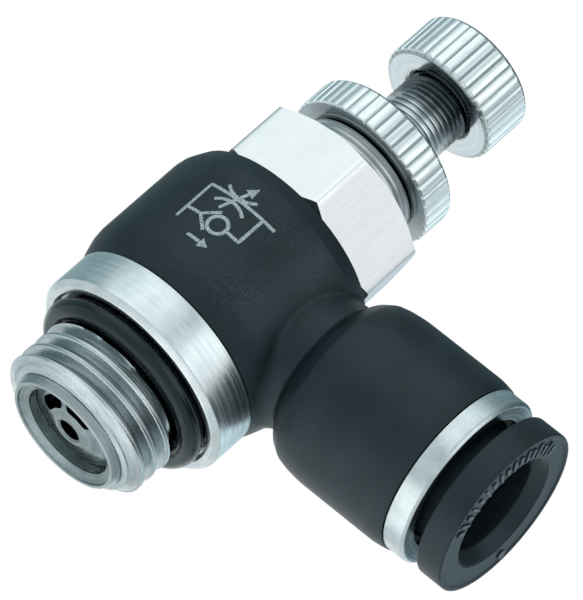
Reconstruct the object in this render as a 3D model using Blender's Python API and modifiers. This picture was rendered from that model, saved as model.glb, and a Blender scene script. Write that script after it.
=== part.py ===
"""Elbow flow control valve: banjo body with a push-in tube port, on a threaded stem with a needle.

Run with: blender --background --python part.py
The model is in metres.  +Z is the stem axis, from the port thread towards the adjusting knob.
+X is the tube port's axis direction.  The origin is on the stem axis, in the plane of the collar's
lower face, which seats on the port that the valve is screwed into.
"""

import math

import bmesh
import bpy
from mathutils import Matrix, Vector

MM = 0.001
MERGE_DISTANCE = 1.0e-6

# ---------------------------------------------------------------- driving dimensions, millimetres
FIT = 0.05                       # gap between two pieces that touch on the real valve
RUNNING = 0.10                   # radial clearance of a piece that turns or slides

# G1/4 parallel port thread (ISO 228)
PORT_MAJOR_R = 13.157 / 2
PORT_MINOR_R = 11.445 / 2
PORT_PITCH = 1.337
PORT_FLANK_SLOPE = math.tan(math.radians(27.5))
PORT_ROOT_HALF = 0.11            # half the width of the flat at the thread's root
PORT_END_Z = -7.0                # end face of the stud
PORT_CHAMFER_Z = -5.8            # where the chamfer of the stud's end starts
PORT_THREAD_TOP_Z = -1.9
PORT_RIM_R = (4.65, 4.95)        # inner and outer edge of the stud's flat end face
PORT_NOSE = (5.25, -6.3)         # radius and height where the steep nose meets the chamfer
PORT_MOUTH_Z = -6.6              # foot of the countersink in the stud's mouth

# Collar and O-ring recess
COLLAR_R = 8.9
COLLAR_TOP_Z = 3.8
COLLAR_CHAMFER = 0.45
RECESS_R = 7.95
RECESS_DEPTH = 0.5
PORT_SEAL_R = 6.85               # to the middle of the cord
PORT_SEAL_CORD_R = 0.95
PORT_SEAL_Z = -0.62

# Barrel that the body turns on
BARREL_R = 5.6
BARREL_TOP_Z = 16.35
GALLERY_R = 4.9
GALLERY_Z = (8.2, 12.9)
CROSS_HOLE_R = 1.6
STEM_BORE_R = 2.9
BODY_SEAL_CORD_R = 0.42
BODY_SEAL_GROOVE_FLOOR_R = 4.95
BODY_SEAL_LOW_Z = 5.9
BODY_SEAL_HIGH_Z = 14.8

# Seat insert, check ring
INSERT_R = 3.9
INSERT_LOW_Z = -5.7              # of its lower face at the rim
INSERT_THICKNESS = 1.0
INSERT_HUB = (1.35, -6.4)        # radius and height of the flat round the orifice
ORIFICE_R = 0.95
SPIGOT_R = 1.6
SPIGOT_TOP_Z = -2.2
SLOT_INNER_R = 2.0
SLOT_OUTER_R = 3.1
SLOT_ANGLES = (-143.0, -74.0)
SLOT_SPREAD = 34.0               # degrees between the centres of a slot's two round ends
CHECK_CHAMBER_R = 3.4
CHECK_OUTER_R = 3.2
CHECK_THICKNESS = 0.7
CHECK_TRAVEL = 0.8

# Hexagon bonnet
HEX_ACROSS_FLATS = 15.0
HEX_LOW_Z = 16.4
HEX_TOP_Z = 22.9
HEX_CORNER_R = 8.6
HEX_TURN = -10.0                 # degrees from +X to a corner
HEX_CHAMFER_R = 7.55
BOSS_R = 5.3
BOSS_TOP_Z = 25.4
SPIGOT_OUTER_R = 4.45
SPIGOT_LOW_Z = 13.8
COUNTERBORE_R = 4.53
COUNTERBORE_LOW_Z = 12.95
SCREW_BORE_R = 3.1
PISTON_BORE_R = 3.5
PISTON_BORE_TOP_Z = 19.9
BONNET_SEAL_R = 4.0
BONNET_SEAL_CORD_R = 0.38

# Adjusting screw with its needle, and what it carries
SCREW_R = 3.0
SCREW_TOP_Z = 38.1
PISTON_R = 3.4
PISTON_Z = (15.9, 17.75)
NEEDLE_SEAL_Z = 16.8
NEEDLE_SEAL_CORD_R = 0.4
NEEDLE_SEAL_GROOVE_FLOOR_R = 2.55
NEEDLE_R = 1.2
NEEDLE_CONE_Z = 1.2
NEEDLE_WAIST_R = 0.785           # 2.4 mm further down, this cone closes the orifice
NEEDLE_WAIST_Z = -0.45
NEEDLE_TIP_R = 0.35
NEEDLE_TIP_Z = -1.9

NUT_R = 6.76
NUT_Z = (25.5, 28.5)
NUT_FLUTES = 44
KNOB_R = 5.24
KNOB_Z = (34.2, 38.83)
KNOB_FLUTES = 36
FLUTE_DEPTH = 0.28
FLUTE_HALF_WIDTH = 0.22

# Banjo body: the eye's outside as (radius, height) points, from its top down
BODY_OUTLINE = ((8.9, 16.33), (9.12, 15.85), (9.5, 14.9), (9.6, 14.2),
                (9.6, 6.5), (9.5, 5.7), (9.2, 4.75), (8.85, 3.87))
BODY_TOP_Z = BODY_OUTLINE[0][1]
BODY_LOW_Z = BODY_OUTLINE[-1][1]
BODY_BORE_R = 5.72
TUBE_AXIS_Z = 10.55
NECK_R = 5.7                     # clears the bonnet's hexagon, which turns above it
PORT_R = 7.6
PORT_SHOULDER = ((7.5, 13.0), (7.3, 12.0), (6.7, 11.0), (NECK_R, 10.2))
PORT_SHOULDER_X = 14.0
PORT_END_X = 22.45
PORT_SPIGOT_R = 6.8
PORT_SPIGOT_END_X = 23.25
PASSAGE_R = 2.7
TUBE_STOP_X = 9.0
TUBE_SOCKET_R = 4.08
CHAMBER_X = 13.5
CHAMBER_R = 5.8

# Push-in cartridge for 8 mm tube
TUBE_SEAL_X = (13.6, 16.2)
TUBE_SEAL_INNER_R = 3.95
SEAL_SUPPORT_X = (16.3, 17.8)
SEAL_SUPPORT_INNER_R = 4.15
GRAB_RING_X = 17.9
GRAB_RING_THICKNESS = 0.25
GRAB_RING_RIM = 0.6              # width of the flat rim outside the teeth
GRAB_TEETH = 12
GRAB_TOOTH_GAP = 0.45
GRAB_TIP_R = 3.9
GRAB_LEAN = 0.75                 # how far the teeth's tips lean inwards along the tube
GUIDE_X = (19.1, 24.0)
GUIDE_INNER_R = 5.2
GUIDE_FLANGE_R = 6.75
BAND_X = (22.5, 24.4)
BAND_R = 7.3
BAND_WALL_R = 6.88
BAND_LIP_R = 5.75
BAND_LIP = 0.35

# Release ring
RELEASE_NOSE_X = 18.8             # 1 mm further in, it meets the grab ring's teeth
RELEASE_FLANGE_X = 25.6
RELEASE_FRONT_X = 27.92
RELEASE_SLEEVE_R = 5.05
RELEASE_BORE_R = 4.1
RELEASE_MOUTH_R = 4.85
RELEASE_LEAD_IN = 1.1            # depth of the countersink that guides the tube in
RELEASE_FLANGE_R = 7.13

SEGMENTS = 40                    # facets round a large turned piece
SMALL_SEGMENTS = 28              # facets round a small one
CORD_SEGMENTS = 6                # facets round an O-ring's cord

# ---------------------------------------------------------------- colours, linear RGB
SLATE_BLACK = (0.018, 0.025, 0.030)
RUBBER_BLACK = (0.010, 0.011, 0.012)
NICKEL = (0.66, 0.69, 0.70)
STEEL = (0.55, 0.57, 0.58)
BRASS = (0.72, 0.52, 0.24)
AMBER = (0.80, 0.74, 0.60)


# ---------------------------------------------------------------- scene and helpers
def clear_scene():
    """Remove every object, so that the script gives the same result in any open file."""
    for obj in list(bpy.data.objects):
        bpy.data.objects.remove(obj, do_unlink=True)


def make_collection(name):
    """A new collection linked to the scene."""
    collection = bpy.data.collections.new(name)
    bpy.context.scene.collection.children.link(collection)
    return collection


def principled(name, colour, roughness, metallic):
    """A Principled material with one colour, roughness and metallic value."""
    material = bpy.data.materials.new(name)
    material.use_nodes = True
    shader = material.node_tree.nodes["Principled BSDF"]
    shader.inputs["Base Color"].default_value = (*colour, 1.0)
    shader.inputs["Roughness"].default_value = roughness
    shader.inputs["Metallic"].default_value = metallic
    return material


def smooth_round(mesh):
    """Shade a round piece smooth, with its real edges sharp."""
    mesh.shade_smooth()
    mesh.set_sharp_from_angle(angle=math.radians(35))


def new_object(name, mesh, collection):
    """An object for a mesh, in a collection."""
    obj = bpy.data.objects.new(name, mesh)
    collection.objects.link(obj)
    return obj


def apply_modifiers(obj):
    """Replace an object's mesh with its evaluated mesh and drop its modifiers."""
    depsgraph = bpy.context.evaluated_depsgraph_get()
    mesh = bpy.data.meshes.new_from_object(obj.evaluated_get(depsgraph))
    obj.modifiers.clear()
    obj.data = mesh


def turned(name, profile, collection, segments=SEGMENTS, along_x=False, half_facet=False):
    """A turned solid from a closed outline of (radius, height) points, in millimetres.

    The outline runs down its outer side and back up its inner side.  A solid piece has two points
    at radius 0, and its outline isn't closed along the axis.  half_facet turns the facets by half
    their width, so that they don't line up with the facets of a piece that is cut or joined.
    """
    open_on_axis = profile[0][0] == 0.0
    mesh = bpy.data.meshes.new(name)
    points = [(radius * MM, 0.0, height * MM) for radius, height in profile]
    edges = [(index, index + 1) for index in range(len(points) - 1)]
    if not open_on_axis:
        edges.append((len(points) - 1, 0))
    mesh.from_pydata(points, edges, [])
    obj = new_object(name, mesh, collection)
    screw = obj.modifiers.new("turn", "SCREW")
    screw.axis = "Z"
    screw.steps = segments
    screw.render_steps = segments
    screw.use_merge_vertices = True
    screw.merge_threshold = MERGE_DISTANCE
    apply_modifiers(obj)
    if half_facet:
        obj.data.transform(Matrix.Rotation(math.pi / segments, 4, "Z"))
    if along_x:
        lay_along_x(obj)
    smooth_round(obj.data)
    return obj


def lay_along_x(obj):
    """Turn a piece built about Z so that its height runs along X, with its origin on the tube axis."""
    obj.data.transform(Matrix.Rotation(math.radians(90), 4, "Y"))
    obj.location.z = TUBE_AXIS_Z * MM


def o_ring(name, centre_r, cord_r, height, collection, segments=SMALL_SEGMENTS):
    """An O-ring: a round cord bent into a circle about the stem axis."""
    step = 2 * math.pi / CORD_SEGMENTS
    outline = []
    for index in range(CORD_SEGMENTS):
        angle = -step * (index + 0.5)
        outline.append((centre_r + cord_r * math.cos(angle), height + cord_r * math.sin(angle)))
    return turned(name, outline, collection, segments)


def combine(target, tool, operation):
    """Apply an exact Boolean of a tool to a target, and leave the tool in its collection."""
    boolean = target.modifiers.new(operation.lower(), "BOOLEAN")
    boolean.operation = operation
    boolean.solver = "EXACT"
    boolean.object = tool
    apply_modifiers(target)
    smooth_round(target.data)


def cut(target, *tools):
    """Cut tools away from a target."""
    for tool in tools:
        combine(target, tool, "DIFFERENCE")


def joined_tools(name, meshes, collection):
    """One cutter object from separate meshes that don't touch each other."""
    bm = bmesh.new()
    for mesh in meshes:
        bm.from_mesh(mesh)
    mesh = bpy.data.meshes.new(name)
    bm.to_mesh(mesh)
    bm.free()
    return new_object(name, mesh, collection)


def helical_groove(name, root_r, outer_r, pitch, slope, low_z, high_z, root_half, collection):
    """A cutter for a V thread: a trapezoid section swept along a helix, with flat ends."""
    steps_per_turn = SEGMENTS
    steps = math.ceil((high_z - low_z) / pitch * steps_per_turn)
    outer_half = root_half + (outer_r - root_r) * slope
    section = [(root_r, -root_half), (outer_r, -outer_half), (outer_r, outer_half), (root_r, root_half)]
    bm = bmesh.new()
    rings = []
    for step in range(steps + 1):
        angle = 2 * math.pi * (step + 0.5) / steps_per_turn
        rise = low_z + pitch * step / steps_per_turn
        ring = []
        for radius, offset in section:
            point = Vector((radius * math.cos(angle), radius * math.sin(angle), rise + offset))
            ring.append(bm.verts.new(point * MM))
        rings.append(ring)
    for near, far in zip(rings, rings[1:]):
        for index in range(len(section)):
            following = (index + 1) % len(section)
            bm.faces.new((near[index], near[following], far[following], far[index]))
    bm.faces.new(list(reversed(rings[0])))
    bm.faces.new(rings[-1])
    bmesh.ops.recalc_face_normals(bm, faces=bm.faces)
    mesh = bpy.data.meshes.new(name)
    bm.to_mesh(mesh)
    bm.free()
    return new_object(name, mesh, collection)


def flute_cutter(name, radius, low_z, high_z, count, collection):
    """V grooves along a round piece's rim, one on every facet corner."""
    overshoot = 0.3
    meshes = []
    for index in range(count):
        angle = 2 * math.pi * index / count
        bm = bmesh.new()
        reach = radius + overshoot
        half = FLUTE_HALF_WIDTH * (FLUTE_DEPTH + overshoot) / FLUTE_DEPTH
        corners = [(radius - FLUTE_DEPTH, 0.0), (reach, -half), (reach, half)]
        low = [bm.verts.new(Vector((x, y, low_z - overshoot)) * MM) for x, y in corners]
        high = [bm.verts.new(Vector((x, y, high_z + overshoot)) * MM) for x, y in corners]
        bm.faces.new(list(reversed(low)))
        bm.faces.new(high)
        for corner in range(len(corners)):
            following = (corner + 1) % len(corners)
            bm.faces.new((low[corner], low[following], high[following], high[corner]))
        bmesh.ops.rotate(bm, verts=bm.verts, matrix=Matrix.Rotation(angle, 3, "Z"))
        mesh = bpy.data.meshes.new(name)
        bm.to_mesh(mesh)
        bm.free()
        meshes.append(mesh)
    return joined_tools(name, meshes, collection)


def kidney_cutter(name, angle_degrees, low_z, high_z, collection):
    """A kidney-shaped slot about the stem axis, with round ends."""
    middle_r = (SLOT_INNER_R + SLOT_OUTER_R) / 2
    half_width = (SLOT_OUTER_R - SLOT_INNER_R) / 2
    arc_steps = 4
    outline = []
    for side, radius in ((1, SLOT_OUTER_R), (-1, SLOT_INNER_R)):
        for step in range(arc_steps + 1):
            share = (step / arc_steps - 0.5) * side
            angle = math.radians(angle_degrees + SLOT_SPREAD * share)
            outline.append(Vector((radius * math.cos(angle), radius * math.sin(angle))))
        end_angle = math.radians(angle_degrees + SLOT_SPREAD * 0.5 * side)
        centre = Vector((middle_r * math.cos(end_angle), middle_r * math.sin(end_angle)))
        start = end_angle if side > 0 else end_angle + math.pi
        for step in range(1, arc_steps):
            turn = start + math.pi * step / arc_steps
            outline.append(centre + half_width * Vector((math.cos(turn), math.sin(turn))))
    bm = bmesh.new()
    low = [bm.verts.new(Vector((x, y, low_z)) * MM) for x, y in outline]
    high = [bm.verts.new(Vector((x, y, high_z)) * MM) for x, y in outline]
    bm.faces.new(low)
    bm.faces.new(high)
    for index in range(len(outline)):
        following = (index + 1) % len(outline)
        bm.faces.new((low[index], low[following], high[following], high[index]))
    bmesh.ops.recalc_face_normals(bm, faces=bm.faces)
    mesh = bpy.data.meshes.new(name)
    bm.to_mesh(mesh)
    bm.free()
    return new_object(name, mesh, collection)


def radial_drill(name, radius, reach, height, angle_degrees, collection):
    """A drill that runs right across the stem axis at a height."""
    bm = bmesh.new()
    bmesh.ops.create_cone(bm, cap_ends=True, segments=16, radius1=radius * MM, radius2=radius * MM,
                          depth=2 * reach * MM)
    lay = Matrix.Rotation(math.radians(angle_degrees), 4, "Z") @ Matrix.Rotation(math.pi / 2, 4, "Y")
    bmesh.ops.transform(bm, verts=bm.verts, matrix=Matrix.Translation((0, 0, height * MM)) @ lay)
    mesh = bpy.data.meshes.new(name)
    bm.to_mesh(mesh)
    bm.free()
    return new_object(name, mesh, collection)


# ---------------------------------------------------------------- the stem and what is inside it
def seal_groove(height):
    """The four corners of a rectangular groove for a body seal, from its top to its bottom."""
    half = BODY_SEAL_CORD_R + 2 * FIT
    return [(BARREL_R, height + half), (BODY_SEAL_GROOVE_FLOOR_R, height + half),
            (BODY_SEAL_GROOVE_FLOOR_R, height - half), (BARREL_R, height - half)]


def make_stem_base(parts, cutters):
    """Port thread, collar and barrel in one turned piece of nickel-plated brass."""
    insert_top = INSERT_LOW_Z + INSERT_THICKNESS + FIT
    check_ceiling = insert_top + CHECK_THICKNESS + CHECK_TRAVEL + FIT
    gallery_low, gallery_high = GALLERY_Z
    ramp = 0.4
    barrel = [(BARREL_R - 0.3, BARREL_TOP_Z), (BARREL_R, BARREL_TOP_Z - 0.3)]
    barrel += seal_groove(BODY_SEAL_HIGH_Z)
    barrel += [(BARREL_R, gallery_high), (GALLERY_R, gallery_high - ramp),
               (GALLERY_R, gallery_low + ramp), (BARREL_R, gallery_low)]
    barrel += seal_groove(BODY_SEAL_LOW_Z)
    collar = [(BARREL_R, COLLAR_TOP_Z), (COLLAR_R - 0.1, COLLAR_TOP_Z), (COLLAR_R, COLLAR_TOP_Z - 0.1),
              (COLLAR_R, COLLAR_CHAMFER), (COLLAR_R - COLLAR_CHAMFER, 0.0), (RECESS_R, 0.0),
              (RECESS_R - 0.15, RECESS_DEPTH)]
    under_thread_r = PORT_MINOR_R - 0.04
    stud = [(under_thread_r, RECESS_DEPTH), (under_thread_r, PORT_THREAD_TOP_Z),
            (PORT_MAJOR_R - 0.2, PORT_THREAD_TOP_Z), (PORT_MAJOR_R, PORT_THREAD_TOP_Z - 0.15),
            (PORT_MAJOR_R, PORT_CHAMFER_Z), PORT_NOSE, (PORT_RIM_R[1], PORT_END_Z),
            (PORT_RIM_R[0], PORT_END_Z), (INSERT_R + FIT, PORT_MOUTH_Z)]
    inside = [(INSERT_R + FIT, insert_top), (CHECK_CHAMBER_R, insert_top), (CHECK_CHAMBER_R, check_ceiling),
              (STEM_BORE_R, check_ceiling), (STEM_BORE_R, COUNTERBORE_LOW_Z),
              (COUNTERBORE_R, COUNTERBORE_LOW_Z), (COUNTERBORE_R, BARREL_TOP_Z)]
    base = turned("stem_base", barrel + collar + stud + inside, parts)
    thread = helical_groove("port_thread_cutter", PORT_MINOR_R, PORT_MAJOR_R + 0.1, PORT_PITCH,
                            PORT_FLANK_SLOPE, PORT_END_Z - 0.6, PORT_THREAD_TOP_Z + 0.6,
                            PORT_ROOT_HALF, cutters)
    cut(base, thread)
    gallery_middle = (gallery_low + gallery_high) / 2
    for angle in (0.0, 90.0):
        cut(base, radial_drill(f"cross_drill_{angle:.0f}", CROSS_HOLE_R, BARREL_R + 1.0,
                               gallery_middle, angle, cutters))
    return base


def make_seat_insert(parts, cutters):
    """Disc in the stem's mouth, coned towards a hub: the needle's orifice and the check valve's slots."""
    top = INSERT_LOW_Z + INSERT_THICKNESS
    edge = 0.15
    profile = [(ORIFICE_R + edge, SPIGOT_TOP_Z), (SPIGOT_R - edge, SPIGOT_TOP_Z),
               (SPIGOT_R, SPIGOT_TOP_Z - edge), (SPIGOT_R, top), (INSERT_R, top), (INSERT_R, INSERT_LOW_Z),
               INSERT_HUB, (ORIFICE_R + edge, INSERT_HUB[1]), (ORIFICE_R, INSERT_HUB[1] + edge),
               (ORIFICE_R, SPIGOT_TOP_Z - edge)]
    insert = turned("seat_insert", profile, parts, SMALL_SEGMENTS)
    for angle in SLOT_ANGLES:
        cut(insert, kidney_cutter(f"kidney_cutter_{angle:.0f}", angle, INSERT_HUB[1] - 0.5,
                                  top + 0.5, cutters))
    return insert


def make_check_ring(parts):
    """Floating ring that lies on the slots when air flows back, and lifts off them when it flows in."""
    low = INSERT_LOW_Z + INSERT_THICKNESS + FIT
    high = low + CHECK_THICKNESS
    bore = SPIGOT_R + RUNNING
    edge = 0.15
    profile = [(CHECK_OUTER_R - edge, high), (CHECK_OUTER_R, high - edge), (CHECK_OUTER_R, low),
               (bore, low), (bore, high)]
    return turned("check_ring", profile, parts, SMALL_SEGMENTS)


def make_bonnet(parts, cutters):
    """Hexagon bonnet: screwed into the barrel, it holds the body on and carries the adjusting screw."""
    chamfer_drop = (HEX_CORNER_R - HEX_CHAMFER_R) * math.tan(math.radians(30))
    outside = [(BOSS_R - 0.4, BOSS_TOP_Z), (BOSS_R, BOSS_TOP_Z - 0.4), (BOSS_R, HEX_TOP_Z),
               (HEX_CHAMFER_R, HEX_TOP_Z), (HEX_CORNER_R, HEX_TOP_Z - chamfer_drop),
               (HEX_CORNER_R, HEX_LOW_Z + chamfer_drop), (HEX_CHAMFER_R, HEX_LOW_Z),
               (SPIGOT_OUTER_R, HEX_LOW_Z), (SPIGOT_OUTER_R, SPIGOT_LOW_Z + 0.2),
               (SPIGOT_OUTER_R - 0.2, SPIGOT_LOW_Z)]
    inside = [(PISTON_BORE_R, SPIGOT_LOW_Z), (PISTON_BORE_R, PISTON_BORE_TOP_Z),
              (SCREW_BORE_R, PISTON_BORE_TOP_Z), (SCREW_BORE_R, BOSS_TOP_Z - 0.2),
              (SCREW_BORE_R + 0.2, BOSS_TOP_Z)]
    bonnet = turned("hex_bonnet", outside + inside, parts)
    corner_r = HEX_ACROSS_FLATS / 2 / math.cos(math.radians(30))
    far_r = HEX_CORNER_R + 4.0
    over = 0.5
    ring = [(far_r, HEX_TOP_Z + over), (far_r, HEX_LOW_Z - over), (corner_r, HEX_LOW_Z - over),
            (corner_r, HEX_TOP_Z + over)]
    hexagon = turned("hexagon_cutter", ring, cutters, segments=6)
    hexagon.data.transform(Matrix.Rotation(math.radians(HEX_TURN), 4, "Z"))
    cut(bonnet, hexagon)
    return bonnet


def make_needle_screw(parts):
    """Adjusting screw: threaded shank, guide piston with its seal groove, and needle, in one piece."""
    half_groove = NEEDLE_SEAL_CORD_R + 2 * FIT
    piston_low, piston_high = PISTON_Z
    shank = [(0.0, SCREW_TOP_Z), (SCREW_R - 0.3, SCREW_TOP_Z), (SCREW_R, SCREW_TOP_Z - 0.3),
             (SCREW_R, piston_high)]
    piston = [(PISTON_R, piston_high), (PISTON_R, NEEDLE_SEAL_Z + half_groove),
              (NEEDLE_SEAL_GROOVE_FLOOR_R, NEEDLE_SEAL_Z + half_groove),
              (NEEDLE_SEAL_GROOVE_FLOOR_R, NEEDLE_SEAL_Z - half_groove),
              (PISTON_R, NEEDLE_SEAL_Z - half_groove), (PISTON_R, piston_low)]
    needle = [(NEEDLE_R, piston_low), (NEEDLE_R, NEEDLE_CONE_Z), (NEEDLE_WAIST_R, NEEDLE_WAIST_Z),
              (NEEDLE_TIP_R, NEEDLE_TIP_Z), (0.0, NEEDLE_TIP_Z)]
    return turned("needle_screw", shank + piston + needle, parts, SMALL_SEGMENTS)


def make_knob(parts, cutters):
    """Knurled knob, pressed on the screw's top end."""
    bore = SCREW_R + FIT
    floor = SCREW_TOP_Z + FIT
    low, high = KNOB_Z
    edge = 0.3
    profile = [(0.0, high), (KNOB_R - edge, high), (KNOB_R, high - edge), (KNOB_R, low + edge),
               (KNOB_R - edge, low), (bore, low), (bore, floor), (0.0, floor)]
    knob = turned("adjusting_knob", profile, parts, KNOB_FLUTES)
    cut(knob, flute_cutter("knob_flutes", KNOB_R, low, high, KNOB_FLUTES, cutters))
    return knob


def make_lock_nut(parts, cutters):
    """Knurled lock nut on the screw, tightened against the bonnet's boss."""
    bore = SCREW_R + RUNNING
    low, high = NUT_Z
    edge = 0.35
    profile = [(NUT_R - edge, high), (NUT_R, high - edge), (NUT_R, low + 0.5), (NUT_R - 0.9, low),
               (bore, low), (bore, high)]
    nut = turned("lock_nut", profile, parts, NUT_FLUTES)
    cut(nut, flute_cutter("nut_flutes", NUT_R, low, high, NUT_FLUTES, cutters))
    return nut


def make_stem_seals(parts):
    """The O-rings on the stem, each in its own groove or corner."""
    half_cord = BODY_SEAL_CORD_R * math.cos(math.pi / CORD_SEGMENTS)
    body_seal_r = BODY_SEAL_GROOVE_FLOOR_R + FIT / 2 + half_cord
    bonnet_seal_z = (COUNTERBORE_LOW_Z + SPIGOT_LOW_Z) / 2
    needle_seal_r = NEEDLE_SEAL_GROOVE_FLOOR_R + FIT + NEEDLE_SEAL_CORD_R
    return [
        o_ring("port_o_ring", PORT_SEAL_R, PORT_SEAL_CORD_R, PORT_SEAL_Z, parts, SEGMENTS),
        o_ring("lower_body_o_ring", body_seal_r, BODY_SEAL_CORD_R, BODY_SEAL_LOW_Z, parts),
        o_ring("upper_body_o_ring", body_seal_r, BODY_SEAL_CORD_R, BODY_SEAL_HIGH_Z, parts),
        o_ring("bonnet_o_ring", BONNET_SEAL_R, BONNET_SEAL_CORD_R, bonnet_seal_z, parts),
        o_ring("needle_o_ring", needle_seal_r, NEEDLE_SEAL_CORD_R, NEEDLE_SEAL_Z, parts),
    ]


# ---------------------------------------------------------------- the body and its tube port
def make_banjo_body(parts, cutters):
    """Moulded body: an eye that turns on the barrel, and a tube port joined to it by a neck."""
    eye = [(0.0, BODY_TOP_Z)] + list(BODY_OUTLINE) + [(0.0, BODY_LOW_Z)]
    body = turned("banjo_body", eye, parts)
    root_x = 6.0
    port = [(0.0, PORT_SPIGOT_END_X), (PORT_SPIGOT_R, PORT_SPIGOT_END_X), (PORT_SPIGOT_R, PORT_END_X),
            (PORT_R - 0.18, PORT_END_X), (PORT_R, PORT_END_X - 1.0), (PORT_R, PORT_SHOULDER_X)]
    port += list(PORT_SHOULDER) + [(NECK_R, root_x), (0.0, root_x)]
    port_tool = turned("port_tool", port, cutters, SMALL_SEGMENTS + 8, along_x=True, half_facet=True)
    combine(body, port_tool, "UNION")
    over = 1.0
    bore = [(0.0, BODY_TOP_Z + over), (BODY_BORE_R, BODY_TOP_Z + over), (BODY_BORE_R, BODY_LOW_Z - over),
            (0.0, BODY_LOW_Z - over)]
    passage_start = 3.0
    socket = [(0.0, PORT_SPIGOT_END_X + over), (CHAMBER_R, PORT_SPIGOT_END_X + over),
              (CHAMBER_R, CHAMBER_X), (TUBE_SOCKET_R, CHAMBER_X), (TUBE_SOCKET_R, TUBE_STOP_X),
              (PASSAGE_R, TUBE_STOP_X), (PASSAGE_R, passage_start), (0.0, passage_start)]
    cut(body, turned("bore_cutter", bore, cutters, half_facet=True),
        turned("socket_cutter", socket, cutters, SMALL_SEGMENTS, along_x=True, half_facet=True))
    return body


def make_tube_seal(parts):
    """Rubber ring that seals on the tube, with a shallow groove in its front face for the lip."""
    low, high = TUBE_SEAL_X
    outer = CHAMBER_R - FIT
    profile = [(outer, high), (outer, low), (TUBE_SEAL_INNER_R + 0.5, low), (TUBE_SEAL_INNER_R, low + 0.6),
               (TUBE_SEAL_INNER_R, high - 0.5), (TUBE_SEAL_INNER_R + 0.4, high - 0.2),
               (TUBE_SEAL_INNER_R + 0.8, high - 0.8), (TUBE_SEAL_INNER_R + 1.1, high)]
    return turned("tube_seal", profile, parts, SMALL_SEGMENTS, along_x=True)


def make_seal_support(parts):
    """Ring that holds the tube seal back and backs up the grab ring."""
    low, high = SEAL_SUPPORT_X
    outer = CHAMBER_R - FIT
    profile = [(outer, high), (outer, low), (SEAL_SUPPORT_INNER_R, low),
               (SEAL_SUPPORT_INNER_R, high - 0.6), (SEAL_SUPPORT_INNER_R + 1.0, high)]
    return turned("seal_support", profile, parts, SMALL_SEGMENTS, along_x=True)


def make_grab_ring(parts, cutters):
    """Thin stainless ring whose teeth lean inwards and grip the tube."""
    low = GRAB_RING_X
    high = low + GRAB_RING_THICKNESS
    outer = CHAMBER_R - FIT
    bend_r = outer - GRAB_RING_RIM
    profile = [(outer, high), (outer, low), (bend_r, low), (GRAB_TIP_R, low - GRAB_LEAN),
               (GRAB_TIP_R, high - GRAB_LEAN), (bend_r, high)]
    ring = turned("grab_ring", profile, parts, 2 * GRAB_TEETH, along_x=True)
    size = Vector((3.0, 1.4, GRAB_TOOTH_GAP)) * MM
    shift = Matrix.Translation(Vector((low * MM, bend_r * MM - size.y / 2, 0.0)))
    lift = Matrix.Translation((0, 0, TUBE_AXIS_Z * MM))
    meshes = []
    for index in range(GRAB_TEETH):
        bm = bmesh.new()
        bmesh.ops.create_cube(bm, size=1.0)
        bmesh.ops.scale(bm, verts=bm.verts, vec=size)
        turn = Matrix.Rotation(2 * math.pi * (index + 0.5) / GRAB_TEETH, 4, "X")
        bmesh.ops.transform(bm, verts=bm.verts, matrix=lift @ turn @ shift)
        mesh = bpy.data.meshes.new("tooth_gap")
        bm.to_mesh(mesh)
        bm.free()
        meshes.append(mesh)
    cut(ring, joined_tools("tooth_gap_cutter", meshes, cutters))
    return ring


def make_cartridge_guide(parts):
    """Guide sleeve pressed in the port's end, whose dished flange shows behind the release ring."""
    low, high = GUIDE_X
    outer = CHAMBER_R - FIT
    flange_back = PORT_SPIGOT_END_X + FIT
    profile = [(GUIDE_FLANGE_R, high), (GUIDE_FLANGE_R, flange_back), (outer, flange_back), (outer, low),
               (GUIDE_INNER_R, low), (GUIDE_INNER_R, high - 0.45)]
    return turned("cartridge_guide", profile, parts, SMALL_SEGMENTS + 8, along_x=True)


def make_retaining_band(parts):
    """Metal band crimped over the port's end and the guide's flange."""
    low, high = BAND_X
    chamfer = 0.4
    profile = [(BAND_R - chamfer, high), (BAND_R, high - chamfer), (BAND_R, low), (BAND_WALL_R, low),
               (BAND_WALL_R, high - BAND_LIP), (BAND_LIP_R, high - BAND_LIP), (BAND_LIP_R, high)]
    return turned("retaining_band", profile, parts, SMALL_SEGMENTS + 8, along_x=True)


def make_release_ring(parts):
    """Release ring: pushed in, its nose bends the grab ring's teeth off the tube."""
    edge = 0.2
    profile = [(RELEASE_MOUTH_R, RELEASE_FRONT_X), (RELEASE_FLANGE_R - edge, RELEASE_FRONT_X),
               (RELEASE_FLANGE_R, RELEASE_FRONT_X - edge), (RELEASE_FLANGE_R, RELEASE_FLANGE_X),
               (RELEASE_SLEEVE_R, RELEASE_FLANGE_X), (RELEASE_SLEEVE_R, RELEASE_NOSE_X + 0.8),
               (RELEASE_BORE_R + 0.3, RELEASE_NOSE_X), (RELEASE_BORE_R, RELEASE_NOSE_X),
               (RELEASE_BORE_R, RELEASE_FRONT_X - RELEASE_LEAD_IN)]
    return turned("release_ring", profile, parts, SMALL_SEGMENTS + 8, along_x=True)


# ---------------------------------------------------------------- assembly
def give(objects, material):
    """Put one material on some objects."""
    for obj in objects:
        obj.data.materials.clear()
        obj.data.materials.append(material)


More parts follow.
